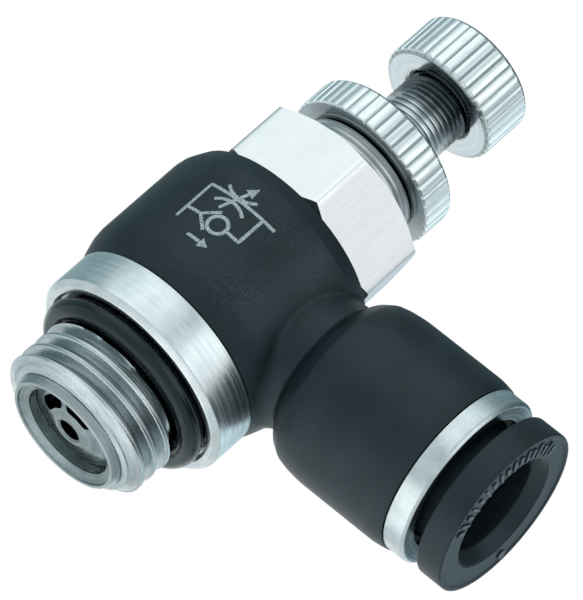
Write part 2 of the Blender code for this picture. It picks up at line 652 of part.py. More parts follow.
def main():
    """Build every piece, give each its material, and put the cutters out of the way."""
    clear_scene()
    parts = make_collection("flow_control_valve")
    cutters = make_collection("cutters")

    give([make_stem_base(parts, cutters)], principled("nickel_base", NICKEL, 0.28, 1.0))
    give([make_seat_insert(parts, cutters)], principled("nickel_insert", NICKEL, 0.32, 1.0))
    give([make_check_ring(parts)], principled("check_rubber", RUBBER_BLACK, 0.6, 0.0))
    give([make_bonnet(parts, cutters)], principled("nickel_hex", NICKEL, 0.3, 1.0))
    give([make_needle_screw(parts)], principled("nickel_screw", NICKEL, 0.25, 1.0))
    give([make_knob(parts, cutters)], principled("nickel_knob", NICKEL, 0.3, 1.0))
    give([make_lock_nut(parts, cutters)], principled("nickel_nut", NICKEL, 0.3, 1.0))
    give(make_stem_seals(parts), principled("seal_rubber", RUBBER_BLACK, 0.45, 0.0))
    give([make_banjo_body(parts, cutters)], principled("body_plastic", SLATE_BLACK, 0.42, 0.0))
    give([make_tube_seal(parts)], principled("tube_seal_rubber", RUBBER_BLACK, 0.55, 0.0))
    give([make_seal_support(parts)], principled("support_plastic", AMBER, 0.5, 0.0))
    give([make_grab_ring(parts, cutters)], principled("spring_steel", STEEL, 0.25, 1.0))
    give([make_cartridge_guide(parts)], principled("guide_plastic", SLATE_BLACK, 0.5, 0.0))
    give([make_retaining_band(parts)], principled("band_nickel", NICKEL, 0.22, 1.0))
    give([make_release_ring(parts)], principled("release_plastic", SLATE_BLACK, 0.45, 0.0))

    for cutter in cutters.objects:
        cutter.hide_render = True
        cutter.display_type = "WIRE"


main()
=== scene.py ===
"""Looks of the flow control valve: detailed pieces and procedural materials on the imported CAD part.

+Z is the stem axis and +X the tube port's axis.  The origin is on the stem axis, in the plane of the
collar's lower face.  Dimensions are in millimetres and are turned into metres as meshes are made.
"""

from math import ceil, cos, degrees, pi, radians, sin, sqrt, tan

import bmesh
import bpy
from mathutils import Matrix, Vector


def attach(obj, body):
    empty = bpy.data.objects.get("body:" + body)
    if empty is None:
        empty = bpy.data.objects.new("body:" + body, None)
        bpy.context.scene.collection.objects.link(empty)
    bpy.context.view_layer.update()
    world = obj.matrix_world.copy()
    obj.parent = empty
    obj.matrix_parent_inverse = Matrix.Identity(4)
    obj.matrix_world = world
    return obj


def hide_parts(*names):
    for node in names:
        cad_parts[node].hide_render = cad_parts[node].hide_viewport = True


MM = 0.001

# ---------------------------------------------------------------- dimensions, millimetres and degrees
# R is a radius, Z a height and X a place along the tube port.  In an outline, a point's third number is
# how far its corner is rounded, and small numbers added to a dimension are chamfers and clearances.
PORT_MAJOR_R = 6.578             # G1/4 port thread
PORT_MINOR_R = 5.722
PORT_PITCH = 1.337
PORT_END_Z = -7.0
PORT_CHAMFER_Z = -5.8            # where the end chamfer leaves the crests whole
PORT_THREAD_TOP_Z = -1.62
PORT_RUN_OUT = 3.5               # radius lost per millimetre where the thread runs out
PORT_RIM_R = (4.65, 4.95)        # flat end face
PORT_NOSE = (5.25, -6.3)         # radius and height where the chamfer starts
PORT_MOUTH_Z = -6.6
MOUTH_STEP = (4.6, -6.82)        # radius and height of the step in the countersink
UNDER_THREAD_R = 5.68            # plain neck between thread and collar

PORT_SECTION = (                 # (share of a pitch, radius) over one turn: root, flanks and crest
    (0.0, 5.722), (0.10, 5.70), (0.17, 5.735), (0.21, 5.81), (0.36, 6.22), (0.44, 6.45), (0.475, 6.555),
    (0.50, 6.578), (0.545, 6.555), (0.60, 6.55), (0.655, 6.555), (0.70, 6.578), (0.725, 6.555),
    (0.76, 6.45), (0.84, 6.22), (0.96, 5.80),
)

COLLAR_R = 8.9
COLLAR_TOP_Z = 3.8
COLLAR_CHAMFER = 0.45
RECESS_R = 7.95
RECESS_DEPTH = 0.5

BARREL_R = 5.6
BARREL_TOP_Z = 16.35
GALLERY_R = 4.9
GALLERY_Z = (8.2, 12.9)          # waist in the barrel that takes the air round it
GALLERY_SLOPE = 0.4
STEM_BORE_R = 2.9
COUNTERBORE_R = 4.53
COUNTERBORE_LOW_Z = 12.95

INSERT_R = 3.9
INSERT_Z = (-5.7, -4.7)
INSERT_HUB = (1.35, -6.4)        # radius and height of the raised middle
INSERT_RINGS = 9                 # tool marks on the face
INSERT_RING_STEP = 0.25
INSERT_RING_HEIGHT = 0.035
ORIFICE_R = 0.95
SPIGOT_R = 1.6
SPIGOT_TOP_Z = -2.2
SLOT_R = (2.0, 3.1)
SLOT_ANGLES = (-143.0, -74.0)
SLOT_SPREAD = 34.0               # between the middles of a slot's round ends
CHECK_CHAMBER_R = 3.4
CHECK_CHAMBER_TOP_Z = -3.1
CHECK_RING_R = (1.7, 3.2)
CHECK_RING_Z = (-4.65, -3.95)

HEX_ACROSS_FLATS = 15.0
HEX_Z = (16.4, 22.9)
HEX_CORNER_R = 8.6
HEX_TURN = -10.0
HEX_CHAMFER_R = 7.55
HEX_COLUMNS = 180
HEX_EDGE = 0.35                  # half width of a facet on a corner
BOSS_R = 5.3
BOSS_TOP_Z = 25.4
BOSS_PITCH = 0.5                 # of the fine thread on the boss, drawn as grooves
BOSS_GROOVES = 4
BOSS_GROOVE_DEPTH = 0.17
BONNET_SPIGOT_R = 4.45
BONNET_SPIGOT_LOW_Z = 13.8
SCREW_BORE_R = 3.1
PISTON_BORE_R = 3.5
PISTON_BORE_TOP_Z = 19.9

SCREW_R = 3.0                    # M6 by 0.5 adjusting thread
SCREW_PITCH = 0.5
SCREW_SECTION = (                # as PORT_SECTION
    (0.0, 2.72), (0.16, 2.72), (0.24, 2.755), (0.48, 2.965), (0.56, 3.0), (0.64, 3.0), (0.72, 2.965),
    (0.96, 2.755),
)
SCREW_TOP_Z = 38.1
PISTON_R = 3.4
PISTON_Z = (15.9, 17.75)
NEEDLE_GROOVE_R = 2.55
NEEDLE_SEAL_Z = 16.8
NEEDLE_GROOVE_HALF = 0.5
NEEDLE_R = 1.2
NEEDLE_CONE = ((NEEDLE_R, 1.2), (0.785, -0.45), (0.35, -1.9, 0.1), (0.0, -1.9))

NUT_R = 6.76
NUT_Z = (25.5, 28.5)
NUT_FLUTES = 44
KNOB_R = 5.24
KNOB_Z = (34.2, 38.83)
KNOB_FLUTES = 36
FLUTE_DEPTH = 0.22
FLUTE_PHASES = (                 # (share of a flute's step, share of its depth) across a flute and a land
    (-0.24, 0.0), (-0.19, 0.07), (-0.10, 0.72), (0.0, 1.0), (0.10, 0.72), (0.19, 0.07), (0.24, 0.0),
    (0.5, 0.0),
)
NUT_FACE_SHADE = 0.85             # how far painted shade darkens the turned faces
KNOB_FACE_SHADE = 0.0

STEM_O_RINGS = (                 # CAD node, body, radius of the cord's middle, cord radius, height
    ("port_o_ring", "stem", 6.85, 0.95, -0.62),
    ("lower_body_o_ring", "stem", 5.33, 0.37, 5.9),
    ("upper_body_o_ring", "stem", 5.33, 0.37, 14.8),
    ("bonnet_o_ring", "stem", 4.0, 0.38, 13.375),
    ("needle_o_ring", "screw_seal", 3.0, 0.4, NEEDLE_SEAL_Z),
)
O_RING_FLASH = 0.012             # height of the mould's flash line
O_RING_STEPS = 28

BODY_OUTLINE = ((8.9, 16.33), (9.12, 15.85), (9.5, 14.9), (9.6, 14.2),
                (9.6, 6.5), (9.5, 5.7), (9.2, 4.75), (8.85, 3.87))
BODY_EASE = (0.08, 0.1, 0.1, 0.12, 0.12, 0.1, 0.1, 0.05)       # rounding at each of those points
BELT_R = 9.6                     # widest part of the eye
BODY_BORE_R = 5.72
TUBE_AXIS_Z = 10.55
NECK_R = 5.7
NECK_BLEND = (0.45, 0.85)        # reach of the blend above, and how much more below
NECK_BLEND_LEAST = 0.02
NECK_ROOM = (0.06, 0.1)          # kept free to the eye's upper and lower edges
NECK_START_X = 6.0               # inside the eye
PORT_R = 7.6
PORT_SHOULDER = (                # (radius, x, rounding) from the port down to the neck
    (PORT_R, 14.0, 0.5), (7.45, 12.7, 0.3), (7.25, 11.85, 0.2), (6.7, 11.0, 0.15), (NECK_R, 10.2, 0.2),
)
PORT_END_X = 22.45
PORT_SPIGOT_R = 6.8
PORT_SPIGOT_END_X = 23.25
PASSAGE_R = 2.7
PASSAGE_START_X = 3.0
TUBE_STOP_X = 9.0
TUBE_SOCKET_R = 4.08
CHAMBER_X = 13.5
CHAMBER_R = 5.8
CARTRIDGE_R = 5.75
TUBE_SEAL_OUTLINE = (
    (CARTRIDGE_R, 16.2, 0.1), (CARTRIDGE_R, 13.6, 0.1), (4.45, 13.6), (3.95, 14.2, 0.2),
    (3.95, 15.7, 0.15), (4.35, 16.0), (4.75, 15.4, 0.1), (5.05, 16.2),
)
SUPPORT_OUTLINE = (
    (CARTRIDGE_R, 17.8, 0.05), (CARTRIDGE_R, 16.3, 0.05), (4.15, 16.3, 0.1), (4.15, 17.2, 0.1),
    (5.15, 17.8),
)
GUIDE_OUTLINE = (
    (5.2, 23.55, 0.15), (6.75, 24.0, 0.05), (6.75, 23.3), (CARTRIDGE_R, 23.3), (CARTRIDGE_R, 19.1, 0.1),
    (5.2, 19.1, 0.1),
)

BAND_X = (22.5, 24.4)
BAND_R = 7.3
BAND_WALL_R = 6.88               # inside of the band
BAND_LIP_R = 5.75
BAND_LIP_X = 24.05

RELEASE_NOSE_X = 18.8
RELEASE_FLANGE_X = 25.6
RELEASE_FRONT_X = 27.92
RELEASE_SLEEVE_R = 5.05
RELEASE_BORE_R = 4.1
RELEASE_MOUTH_R = 4.85
RELEASE_FLANGE_R = 7.13
RELEASE_RIM_R = (6.6, 6.8)       # slope from the dished face up to the rim
RELEASE_DISH = 0.1
RELEASE_FUNNEL = 1.1             # depth of the tapered mouth
MARK_SPAN = (-31.0, -148.0)      # round the face, from its lowest point
MARK_COUNT = 17
MARK_KINDS = (((5.4, 6.2), 0.03), ((5.2, 6.45), 0.02))         # radii and half width in radians, by turns
MARK_LIFT = 0.03
MARK_SINK = 0.14
MARK_DOT_ANGLE = 92.0
MARK_DOT_R = 6.15
MARK_DOT_SIZE = 0.4

SYMBOL_TURN = -92.0              # round the belt
SYMBOL_SIDES = (-3.1, 2.12)      # along the belt: where the loop of the check valve leaves the main line
SYMBOL_ROWS = (9.7, 12.38)       # heights of the check valve's line and the throttle's line
SYMBOL_TAILS = (8.55, 3.3)       # height of the line's end at the left, and its end along the belt
VALVE_SEAT = -1.7                # point of the check valve's cone
VALVE_BALL_R = 0.8
SYMBOL_LINE = 0.27
SYMBOL_RING_LINE = 0.3
SYMBOL_STEP = 0.3                # longest facet along a printed line
SYMBOL_LIFT = 0.018
SYMBOL_SINK = -0.05

COLUMNS = 160                    # facets round a large piece
SMALL_COLUMNS = 96               # facets round a small one
PORT_COLUMNS = 154               # of the tools that shape the body: unlike, so that no facets coincide
BORE_COLUMNS = 148
SOCKET_COLUMNS = 138
EASE_STEPS = 4                   # facets in a rounded edge
CREASE = 32.0                    # edges sharper than this are shaded sharp
WELD = 1.0e-7                    # vertices nearer than this are one, metres


# ---------------------------------------------------------------- mesh helpers
def object_from(name, vertices, faces, along_x=False):
    """An object from vertices in millimetres, with crease-aware smooth shading."""
    mesh = bpy.data.meshes.new(name)
    mesh.from_pydata([Vector(vertex) * MM for vertex in vertices], [], faces)
    bm = bmesh.new()
    bm.from_mesh(mesh)
    bmesh.ops.remove_doubles(bm, verts=bm.verts, dist=WELD)
    bmesh.ops.dissolve_degenerate(bm, dist=WELD / 10, edges=bm.edges)
    bm.to_mesh(mesh)
    bm.free()
    obj = bpy.data.objects.new(name, mesh)
    bpy.context.scene.collection.objects.link(obj)
    if along_x:
        raise_it = Matrix.Translation((0, 0, TUBE_AXIS_Z * MM))
        obj.matrix_world = raise_it @ Matrix.Rotation(pi / 2, 4, "Y")
    shade(obj)
    return obj


def shade(obj):
    """Smooth shading that keeps creases sharp."""
    obj.data.shade_smooth()
    obj.data.set_sharp_from_angle(angle=radians(CREASE))


def eased(outline):
    """Round each outline corner that has a third number, which is how far the rounding reaches."""
    points = []
    count = len(outline)
    for index, point in enumerate(outline):
        corner = Vector(point[:2])
        if len(point) < 3:
            points.append(tuple(corner))
            continue
        before = Vector(outline[index - 1][:2])
        after = Vector(outline[(index + 1) % count][:2])
        start = corner + (before - corner).normalized() * point[2]
        end = corner + (after - corner).normalized() * point[2]
        for step in range(EASE_STEPS + 1):
            share = step / EASE_STEPS
            near = start.lerp(corner, share)
            far = corner.lerp(end, share)
            points.append(tuple(near.lerp(far, share)))
    return points


def grid_faces(rows, columns, closed=False, ring=False):
    """Faces between rows of vertices: closed joins the last row to the first, and ring does for columns."""
    faces = []
    for row in range(rows if closed else rows - 1):
        below = (row + 1) % rows
        for column in range(columns if ring else columns - 1):
            following = (column + 1) % columns
            faces.append((row * columns + column, below * columns + column,
                          below * columns + following, row * columns + following))
    return faces


def even_angles(count):
    """Angles of columns evenly spaced round a turn."""
    return [2 * pi * index / count for index in range(count)]


def turned(name, outline, columns=COLUMNS, closed=True, along_x=False, angles=None, shape=None):
    """A turned surface from a (radius, height) outline that runs down its outer side.

    shape(radius, height, angle) may move a point, which makes flutes and flats.
    """
    angles = angles or even_angles(columns)
    rows = eased(outline)
    vertices = []
    for radius, height in rows:
        for angle in angles:
            r, h = shape(radius, height, angle) if shape else (radius, height)
            vertices.append((r * cos(angle), r * sin(angle), h))
    return object_from(name, vertices, grid_faces(len(rows), len(angles), closed, True), along_x)


def threaded(name, section, pitch, low, high, limit, columns=COLUMNS):
    """A right-hand thread's surface between two heights, on rows that follow the helix.

    section lists (share of a pitch, radius) over one pitch, and limit(height) cuts the crests down.
    """
    turns = ceil((high - low) / pitch) + 2
    rows = [(low + pitch * (turn - 1 + share), radius)
            for turn in range(turns) for share, radius in section]
    rows.reverse()
    vertices = []
    for base, radius in rows:
        for column in range(columns + 1):
            height = min(max(base + pitch * column / columns, low), high)
            angle = 2 * pi * column / columns
            r = min(radius, limit(height))
            vertices.append((r * cos(angle), r * sin(angle), height))
    return object_from(name, vertices, grid_faces(len(rows), columns + 1))


def prism_faces(start, count):
    """Top and walls of a prism whose top outline starts at a vertex and is followed by its bottom one."""
    faces = [tuple(range(start, start + count))]
    for index in range(count):
        following = (index + 1) % count
        faces.append((start + index, start + count + index, start + count + following, start + following))
    return faces


def join(main, *others):
    """Merge other objects into the main one, in its own space."""
    bm = bmesh.new()
    bm.from_mesh(main.data)
    bpy.context.view_layer.update()
    for other in others:
        mesh = other.data.copy()
        mesh.transform(main.matrix_world.inverted() @ other.matrix_world)
        bm.from_mesh(mesh)
        bpy.data.meshes.remove(mesh)
        bpy.data.objects.remove(other, do_unlink=True)
    bm.to_mesh(main.data)
    bm.free()
    shade(main)
    return main


def combine(target, tool, operation):
    """Apply an exact Boolean of a tool to a target and remove the tool."""
    modifier = target.modifiers.new("boolean", "BOOLEAN")
    modifier.operation = operation
    modifier.solver = "EXACT"
    modifier.object = tool
    depsgraph = bpy.context.evaluated_depsgraph_get()
    mesh = bpy.data.meshes.new_from_object(target.evaluated_get(depsgraph))
    target.modifiers.clear()
    target.data = mesh
    bpy.data.objects.remove(tool, do_unlink=True)
    shade(target)


def o_ring(name, centre_r, cord_r, height):
    """An O-ring of round cord, with the fine flash line that its mould leaves inside and outside."""
    outline = []
    for step in range(O_RING_STEPS):
        angle = -2 * pi * step / O_RING_STEPS
        bulge = O_RING_FLASH if step in (0, O_RING_STEPS // 2) else 0.0
        outline.append((centre_r + (cord_r + bulge) * cos(angle), height + cord_r * sin(angle)))
    return turned(name, outline, SMALL_COLUMNS)


# ---------------------------------------------------------------- material helpers
class Nodes:
    """A node tree, with short calls for its nodes."""

    def __init__(self, tree):
        self.tree = tree

    def add(self, kind, sockets=None, **settings):
        """A node with some of its properties set, and some sockets linked or given a value."""
        node = self.tree.nodes.new(kind)
        for key, value in settings.items():
            setattr(node, key, value)
        for key, value in (sockets or {}).items():
            self.set(node.inputs[key], value)
        return node

    def set(self, socket, value):
        """Link a socket to another one, or give it a value."""
        if isinstance(value, bpy.types.NodeSocket):
            self.tree.links.new(value, socket)
        else:
            socket.default_value = value

    def vector(self, operation, first, second):
        """A vector operation's result."""
        node = self.add("ShaderNodeVectorMath", {0: first, 1: second}, operation=operation)
        return node.outputs["Vector"]

    def length(self, vector):
        """A vector's length."""
        return self.add("ShaderNodeVectorMath", {0: vector}, operation="LENGTH").outputs["Value"]

    def maths(self, operation, first, second=0.0, clamp=False):
        """A number operation's result."""
        node = self.add("ShaderNodeMath", {0: first, 1: second}, operation=operation, use_clamp=clamp)
        return node.outputs["Value"]

    def span(self, value, low, high, out_low=0.0, out_high=1.0):
        """A value mapped from one range to another, held at its ends."""
        numbers = {0: value, 1: low, 2: high, 3: out_low, 4: out_high}
        return self.add("ShaderNodeMapRange", numbers, interpolation_type="SMOOTHSTEP").outputs["Result"]

    def mix(self, factor, first, second, blend="MIX"):
        """A colour between two, or another blend of them."""
        colours = {0: factor, 6: first, 7: second}
        return self.add("ShaderNodeMix", colours, data_type="RGBA", blend_type=blend).outputs[2]


class Look(Nodes):
    """One procedural material.  Texture space is in millimetres."""

    def __init__(self, name, metallic=0.0, anisotropic=0.0, gloss_tint=None):
        self.material = bpy.data.materials.new(name)
        self.material.use_nodes = True
        super().__init__(self.material.node_tree)
        self.shader = self.tree.nodes["Principled BSDF"]
        self.shader.inputs["Metallic"].default_value = metallic
        self.shader.inputs["Anisotropic"].default_value = anisotropic
        if gloss_tint:
            self.shader.inputs["Specular Tint"].default_value = gloss_tint
        place = self.add("ShaderNodeTexCoord").outputs["Object"]
        scaled = self.add("ShaderNodeVectorMath", {0: place, "Scale": 1.0 / MM}, operation="SCALE")
        self.place = scaled.outputs["Vector"]

    def plus(self, first, second, clamp=False):
        """The sum of two numbers."""
        return self.maths("ADD", first, second, clamp)

    def times(self, first, second):
        """The product of two numbers."""
        return self.maths("MULTIPLY", first, second)

    def away(self):
        """Distance from the piece's axis, in millimetres."""
        return self.length(self.vector("MULTIPLY", self.place, (1.0, 1.0, 0.0)))

    def height(self):
        """Height above the origin, in millimetres."""
        return self.add("ShaderNodeSeparateXYZ", {0: self.place}).outputs["Z"]

    def around(self):
        """Texture space of a turned piece: distance from its axis, height and angle."""
        split = self.add("ShaderNodeSeparateXYZ", {0: self.place}).outputs
        turn = self.maths("ARCTAN2", split["Y"], split["X"])
        return self.add("ShaderNodeCombineXYZ", {0: self.away(), 1: split["Z"], 2: turn}).outputs["Vector"]

    def noise(self, scale, detail=3.0, stretch=None, space=None, roughness=0.55):
        """Noise, 0 to 1, with so many features per millimetre."""
        source = space or self.place
        if stretch:
            source = self.vector("MULTIPLY", source, stretch)
        sockets = {"Vector": source, "Scale": scale, "Detail": detail, "Roughness": roughness}
        return self.add("ShaderNodeTexNoise", sockets).outputs["Fac"]

    def rings(self, scale, drift):
        """Rings that a turning tool leaves round the axis, and that drift a little along the turn."""
        return self.noise(scale, stretch=(1.0, 1.0, drift), space=self.around())

    def bumps(self, *layers):
        """Stack bump layers, each a (value, depth in millimetres)."""
        under = {}
        for value, depth in layers:
            sockets = {"Strength": 1.0, "Distance": depth * MM, "Height": value, **under}
            under = {"Normal": self.add("ShaderNodeBump", sockets).outputs["Normal"]}
        self.set(self.shader.inputs["Normal"], under["Normal"])

    def colour(self, factor, first, second):
        """Set the base colour to a mix of two."""
        self.set(self.shader.inputs["Base Color"], self.mix(factor, first, second))

    def roughness(self, value, low=None, high=None):
        """Set the roughness to a value, or to a noise brought between two bounds."""
        if low is not None:
            value = self.evened(value, low, high)
        self.set(self.shader.inputs["Roughness"], value)

    def evened(self, noise, low, high):
        """A noise's usual range, brought between two bounds."""
        return self.span(noise, 0.3, 0.7, low, high)


# ---------------------------------------------------------------- materials
NICKEL_LIGHT = (0.78, 0.81, 0.82, 1.0)
NICKEL_DEEP = (0.60, 0.64, 0.655, 1.0)
# dark nickel: stain on the cut thread, and painted shade on the boss, in the flutes and on the nut's faces
NICKEL_STAIN_AND_SHADE = (0.34, 0.38, 0.39, 1.0)
HEX_LIGHT = (0.90, 0.875, 0.875, 1.0)
HEX_DEEP = (0.83, 0.81, 0.812, 1.0)
LAND_LIGHT = (0.93, 0.95, 0.95, 1.0)       # between the flutes
CREST_HIGHLIGHT = (0.95, 0.96, 0.96, 1.0)      # painted highlight along the thread crests
# painted shade in the thread's roots
ROOT_SHADE = (0.12, 0.14, 0.15, 1.0)
BAND_LIGHT = (0.70, 0.74, 0.75, 1.0)
BAND_DEEP = (0.52, 0.56, 0.57, 1.0)
# painted shade and dark reflection in the band's rolled-in lip
LIP_SHADE_LIGHT = (0.22, 0.27, 0.29, 1.0)
LIP_SHADE_DEEP = (0.12, 0.15, 0.17, 1.0)
# painted shade on the screw under the knob
KNOB_SHADE_DARK = (0.10, 0.12, 0.13, 1.0)
# painted shade inside the stud's bore and on the insert
BORE_SHADE_LIGHT = (0.34, 0.385, 0.39, 1.0)
BORE_SHADE_DEEP = (0.15, 0.18, 0.19, 1.0)
STEEL_LIGHT = (0.62, 0.64, 0.65, 1.0)
STEEL_DEEP = (0.48, 0.50, 0.51, 1.0)
SLATE_DEEP = (0.004, 0.007, 0.0095, 1.0)
SLATE_LIGHT = (0.0065, 0.012, 0.017, 1.0)
SLATE_GLOSS = (0.72, 0.91, 0.98, 1.0)      # tint of the plastic's and rubber's reflections
# painted highlight on the raised marks of the release ring
MARK_HIGHLIGHT_DEEP = (0.022, 0.030, 0.034, 1.0)
MARK_HIGHLIGHT_LIGHT = (0.055, 0.070, 0.078, 1.0)
SCUFF_GREY = (0.12, 0.15, 0.16, 1.0)
SCUFFED_SPOTS = (                          # turn round the stem, height and reach
    (-47.0, 12.6, 3.6), (-62.0, 7.4, 4.2), (-72.0, 12.8, 2.6), (-128.0, 13.6, 3.0), (150.0, 12.0, 4.0),
)
RUBBER_DEEP = (0.0035, 0.005, 0.006, 1.0)
RUBBER_LIGHT = (0.006, 0.009, 0.011, 1.0)
ACETAL_DEEP = (0.62, 0.56, 0.44, 1.0)
ACETAL_LIGHT = (0.72, 0.67, 0.55, 1.0)
INK = (0.50, 0.55, 0.56, 1.0)
INK_GAP = (0.16, 0.19, 0.20, 1.0)
PAPER_DEEP = (0.78, 0.78, 0.78, 1.0)
PAPER_LIGHT = (0.82, 0.82, 0.82, 1.0)


def drawn_nickel(name):
    """Nickel plate over drawn hexagon bar: very light satin, with faint lines along the bar, and painted
    shade on the boss under the nut.
    """
    look = Look(name, metallic=1.0, anisotropic=0.2)
    lines = look.noise(4.0, 4.0, stretch=(1.0, 1.0, 0.04))
    mottle = look.noise(1.1)
    tone = look.plus(look.span(lines, 0.35, 0.7, 0.0, 0.45), look.span(mottle, 0.4, 0.75, 0.0, 0.3))
    bar = look.mix(tone, HEX_LIGHT, HEX_DEEP)
    # painted shade: the boss under the nut is darkened
    boss_shade = look.span(look.height(), HEX_Z[1] + 0.05, HEX_Z[1] + 0.3, 0.0, 0.6)
    look.colour(boss_shade, bar, NICKEL_STAIN_AND_SHADE)
    look.roughness(lines, 0.29, 0.33)
    look.bumps((lines, 0.0007), (mottle, 0.003))
    return look.material


def knurl_nickel(name, rim_r, face_shade):
    """Nickel of a fluted piece: lines along the rim's lands, and polished turned faces inside it, with
    painted shade in the flutes and on the faces as far as asked.
    """
    look = Look(name, metallic=1.0, anisotropic=0.3)
    away = look.away()
    on_rim = look.span(away, rim_r - 0.45, rim_r - 0.36)
    in_flute = look.span(away, rim_r - FLUTE_DEPTH, rim_r - 0.05, 1.0, 0.0)
    rings = look.rings(6.0, 0.03)
    drawn = look.noise(7.0, stretch=(1.0, 1.0, 0.08))
    cloud = look.noise(0.6)
    tone = look.plus(look.span(drawn, 0.4, 0.7, 0.0, 0.35), look.span(cloud, 0.4, 0.75, 0.0, 0.15))
    lands = look.mix(tone, LAND_LIGHT, NICKEL_DEEP)
    # painted shade: the bottoms of the flutes are darkened
    flute_shade = look.mix(look.times(look.times(in_flute, on_rim), 0.75), lands, NICKEL_STAIN_AND_SHADE)
    faces = look.mix(look.span(rings, 0.35, 0.7, 0.0, 0.6), NICKEL_LIGHT, NICKEL_DEEP)
    # painted shade: the turned faces are darkened as far as the piece asks
    faces = look.mix(face_shade, faces, NICKEL_STAIN_AND_SHADE)
    look.colour(on_rim, faces, flute_shade)
    satin = look.evened(drawn, 0.22, 0.34)
    polish = look.evened(rings, 0.09, 0.2)
    extra = look.times(look.maths("SUBTRACT", satin, polish), on_rim)
    look.roughness(look.plus(polish, extra))
    along = look.times(drawn, on_rim)
    look.bumps((along, 0.004), (rings, 0.0015))
    return look.material


def band_nickel(name):
    """The band's plating: smooth outside, with painted shade and a painted dark reflection in its rolled-in
    lip.
    """
    look = Look(name, metallic=1.0, anisotropic=0.35)
    away = look.away()
    in_lip = look.span(away, BAND_WALL_R - 0.05, BAND_R - 0.2, 1.0, 0.0)
    cloud = look.noise(0.6)
    lines = look.rings(6.0, 0.03)
    outside = look.mix(look.span(cloud, 0.35, 0.7, 0.0, 0.8), BAND_LIGHT, BAND_DEEP)
    # painted shade and dark reflection: the lip is coloured darker than the outside
    lip = look.mix(look.span(cloud, 0.35, 0.7), LIP_SHADE_LIGHT, LIP_SHADE_DEEP)
    look.colour(in_lip, outside, lip)
    look.roughness(lines, 0.22, 0.32)
    look.bumps((lines, 0.0015), (cloud, 0.01))
    return look.material


def screw_nickel(name):
    """The adjusting screw's plating: bright near the nut, darkened by painted shade towards the knob."""
    look = Look(name, metallic=1.0, anisotropic=0.3)
    lines = look.rings(5.0, 0.05)
    shade_noise = look.noise(0.8)
    edge = look.plus(look.height(), look.times(shade_noise, 2.0))
    # painted shade: the screw darkens towards the knob, along a wavy edge
    knob_shade_mask = look.span(edge, NUT_Z[1] + 3.0, NUT_Z[1] + 5.6)
    unshaded = look.mix(look.span(lines, 0.4, 0.7, 0.0, 0.5), NICKEL_LIGHT, NICKEL_DEEP)
    look.colour(knob_shade_mask, unshaded, KNOB_SHADE_DARK)
    look.roughness(lines, 0.12, 0.24)
    look.bumps((lines, 0.003))
    return look.material


def stud_nickel(name):
    """The stem's plating: turned rings on the collar, smeared satin metal on the cut thread, with painted
    shade in its roots and a painted highlight on its crests.
    """
    look = Look(name, metallic=1.0, anisotropic=0.45)
    on_thread = look.span(look.height(), -0.9, -0.3, 1.0, 0.0)
    lines = look.rings(6.0, 0.02)
    cloud = look.noise(0.5)
    fleck = look.noise(6.0, 4.0, roughness=0.65)
    smear = look.noise(1.3, 4.0, stretch=(1.6, 1.6, 0.9), space=look.around(), roughness=0.6)
    away = look.away()
    above_nose = look.span(look.height(), PORT_CHAMFER_Z - 0.2, PORT_CHAMFER_Z + 0.1)
    near_root = look.span(away, PORT_MINOR_R + 0.02, PORT_MINOR_R + 0.08, 1.0, 0.0)
    in_root = look.times(near_root, above_nose)
    on_crest = look.span(away, PORT_MAJOR_R - 0.022, PORT_MAJOR_R - 0.006)
    smooth = look.mix(look.span(cloud, 0.35, 0.7, 0.0, 0.7), NICKEL_LIGHT, NICKEL_DEEP)
    flank = look.mix(look.span(smear, 0.36, 0.66, 0.0, 0.8), NICKEL_DEEP, NICKEL_STAIN_AND_SHADE)
    flank = look.mix(look.span(fleck, 0.55, 0.7, 0.0, 0.5), flank, NICKEL_STAIN_AND_SHADE)
    # the thread is darker on the nose chamfer and the end face
    nose_darker = look.span(look.height(), PORT_NOSE[1] - 0.15, PORT_NOSE[1] + 0.02, 0.55, 0.0)
    flank = look.mix(nose_darker, flank, NICKEL_STAIN_AND_SHADE)
    # painted shade in the thread's roots
    thread = look.mix(look.times(in_root, 0.9), flank, ROOT_SHADE)
    # painted highlight along the thread's crests
    thread = look.mix(look.times(on_crest, 0.9), thread, CREST_HIGHLIGHT)
    look.colour(on_thread, smooth, thread)
    polish = look.evened(lines, 0.2, 0.36)
    grit = look.span(smear, 0.35, 0.7, 0.16, 0.32)
    blend = look.times(look.maths("SUBTRACT", grit, polish), on_thread)
    look.roughness(look.plus(polish, blend))
    rough_cut = look.plus(look.times(smear, 0.6), look.times(fleck, 0.4))
    look.bumps((lines, 0.004), (look.times(rough_cut, on_thread), 0.04))
    return look.material


def mouth_nickel(name):
    """Plating inside the stud: painted darker for the shade deep in the bore, smooth, with rings from the
    boring tool.
    """
    look = Look(name, metallic=1.0, anisotropic=0.4)
    lines = look.rings(5.0, 0.02)
    shade_noise = look.noise(0.7)
    tone = look.plus(look.span(lines, 0.35, 0.65, 0.0, 0.5), look.span(shade_noise, 0.35, 0.7, 0.0, 0.4))
    # painted shade: the bore's plating is coloured dark
    look.colour(tone, BORE_SHADE_LIGHT, BORE_SHADE_DEEP)
    look.roughness(lines, 0.1, 0.24)
    look.bumps((lines, 0.01), (shade_noise, 0.01))
    return look.material


def moulded_plastic(name, roughness, belt_wear=False):
    """Glass-filled slate-black plastic: fine mould grain, slow sinks, and scuffs where hands reach."""
    look = Look(name, gloss_tint=SLATE_GLOSS)
    cloud = look.noise(0.35)
    grain = look.noise(11.0, roughness=0.7)
    speck = look.noise(5.5, roughness=0.7)
    base = look.mix(look.span(cloud, 0.35, 0.65), SLATE_DEEP, SLATE_LIGHT)
    dust = look.span(speck, 0.68, 0.78, 0.0, 0.12)
    if belt_wear:
        dust = look.plus(dust, belt_scuffs(look, speck))
    look.colour(dust, base, SCUFF_GREY)
    look.roughness(grain, *roughness)
    look.bumps((grain, 0.006), (cloud, 0.05))
    return look.material


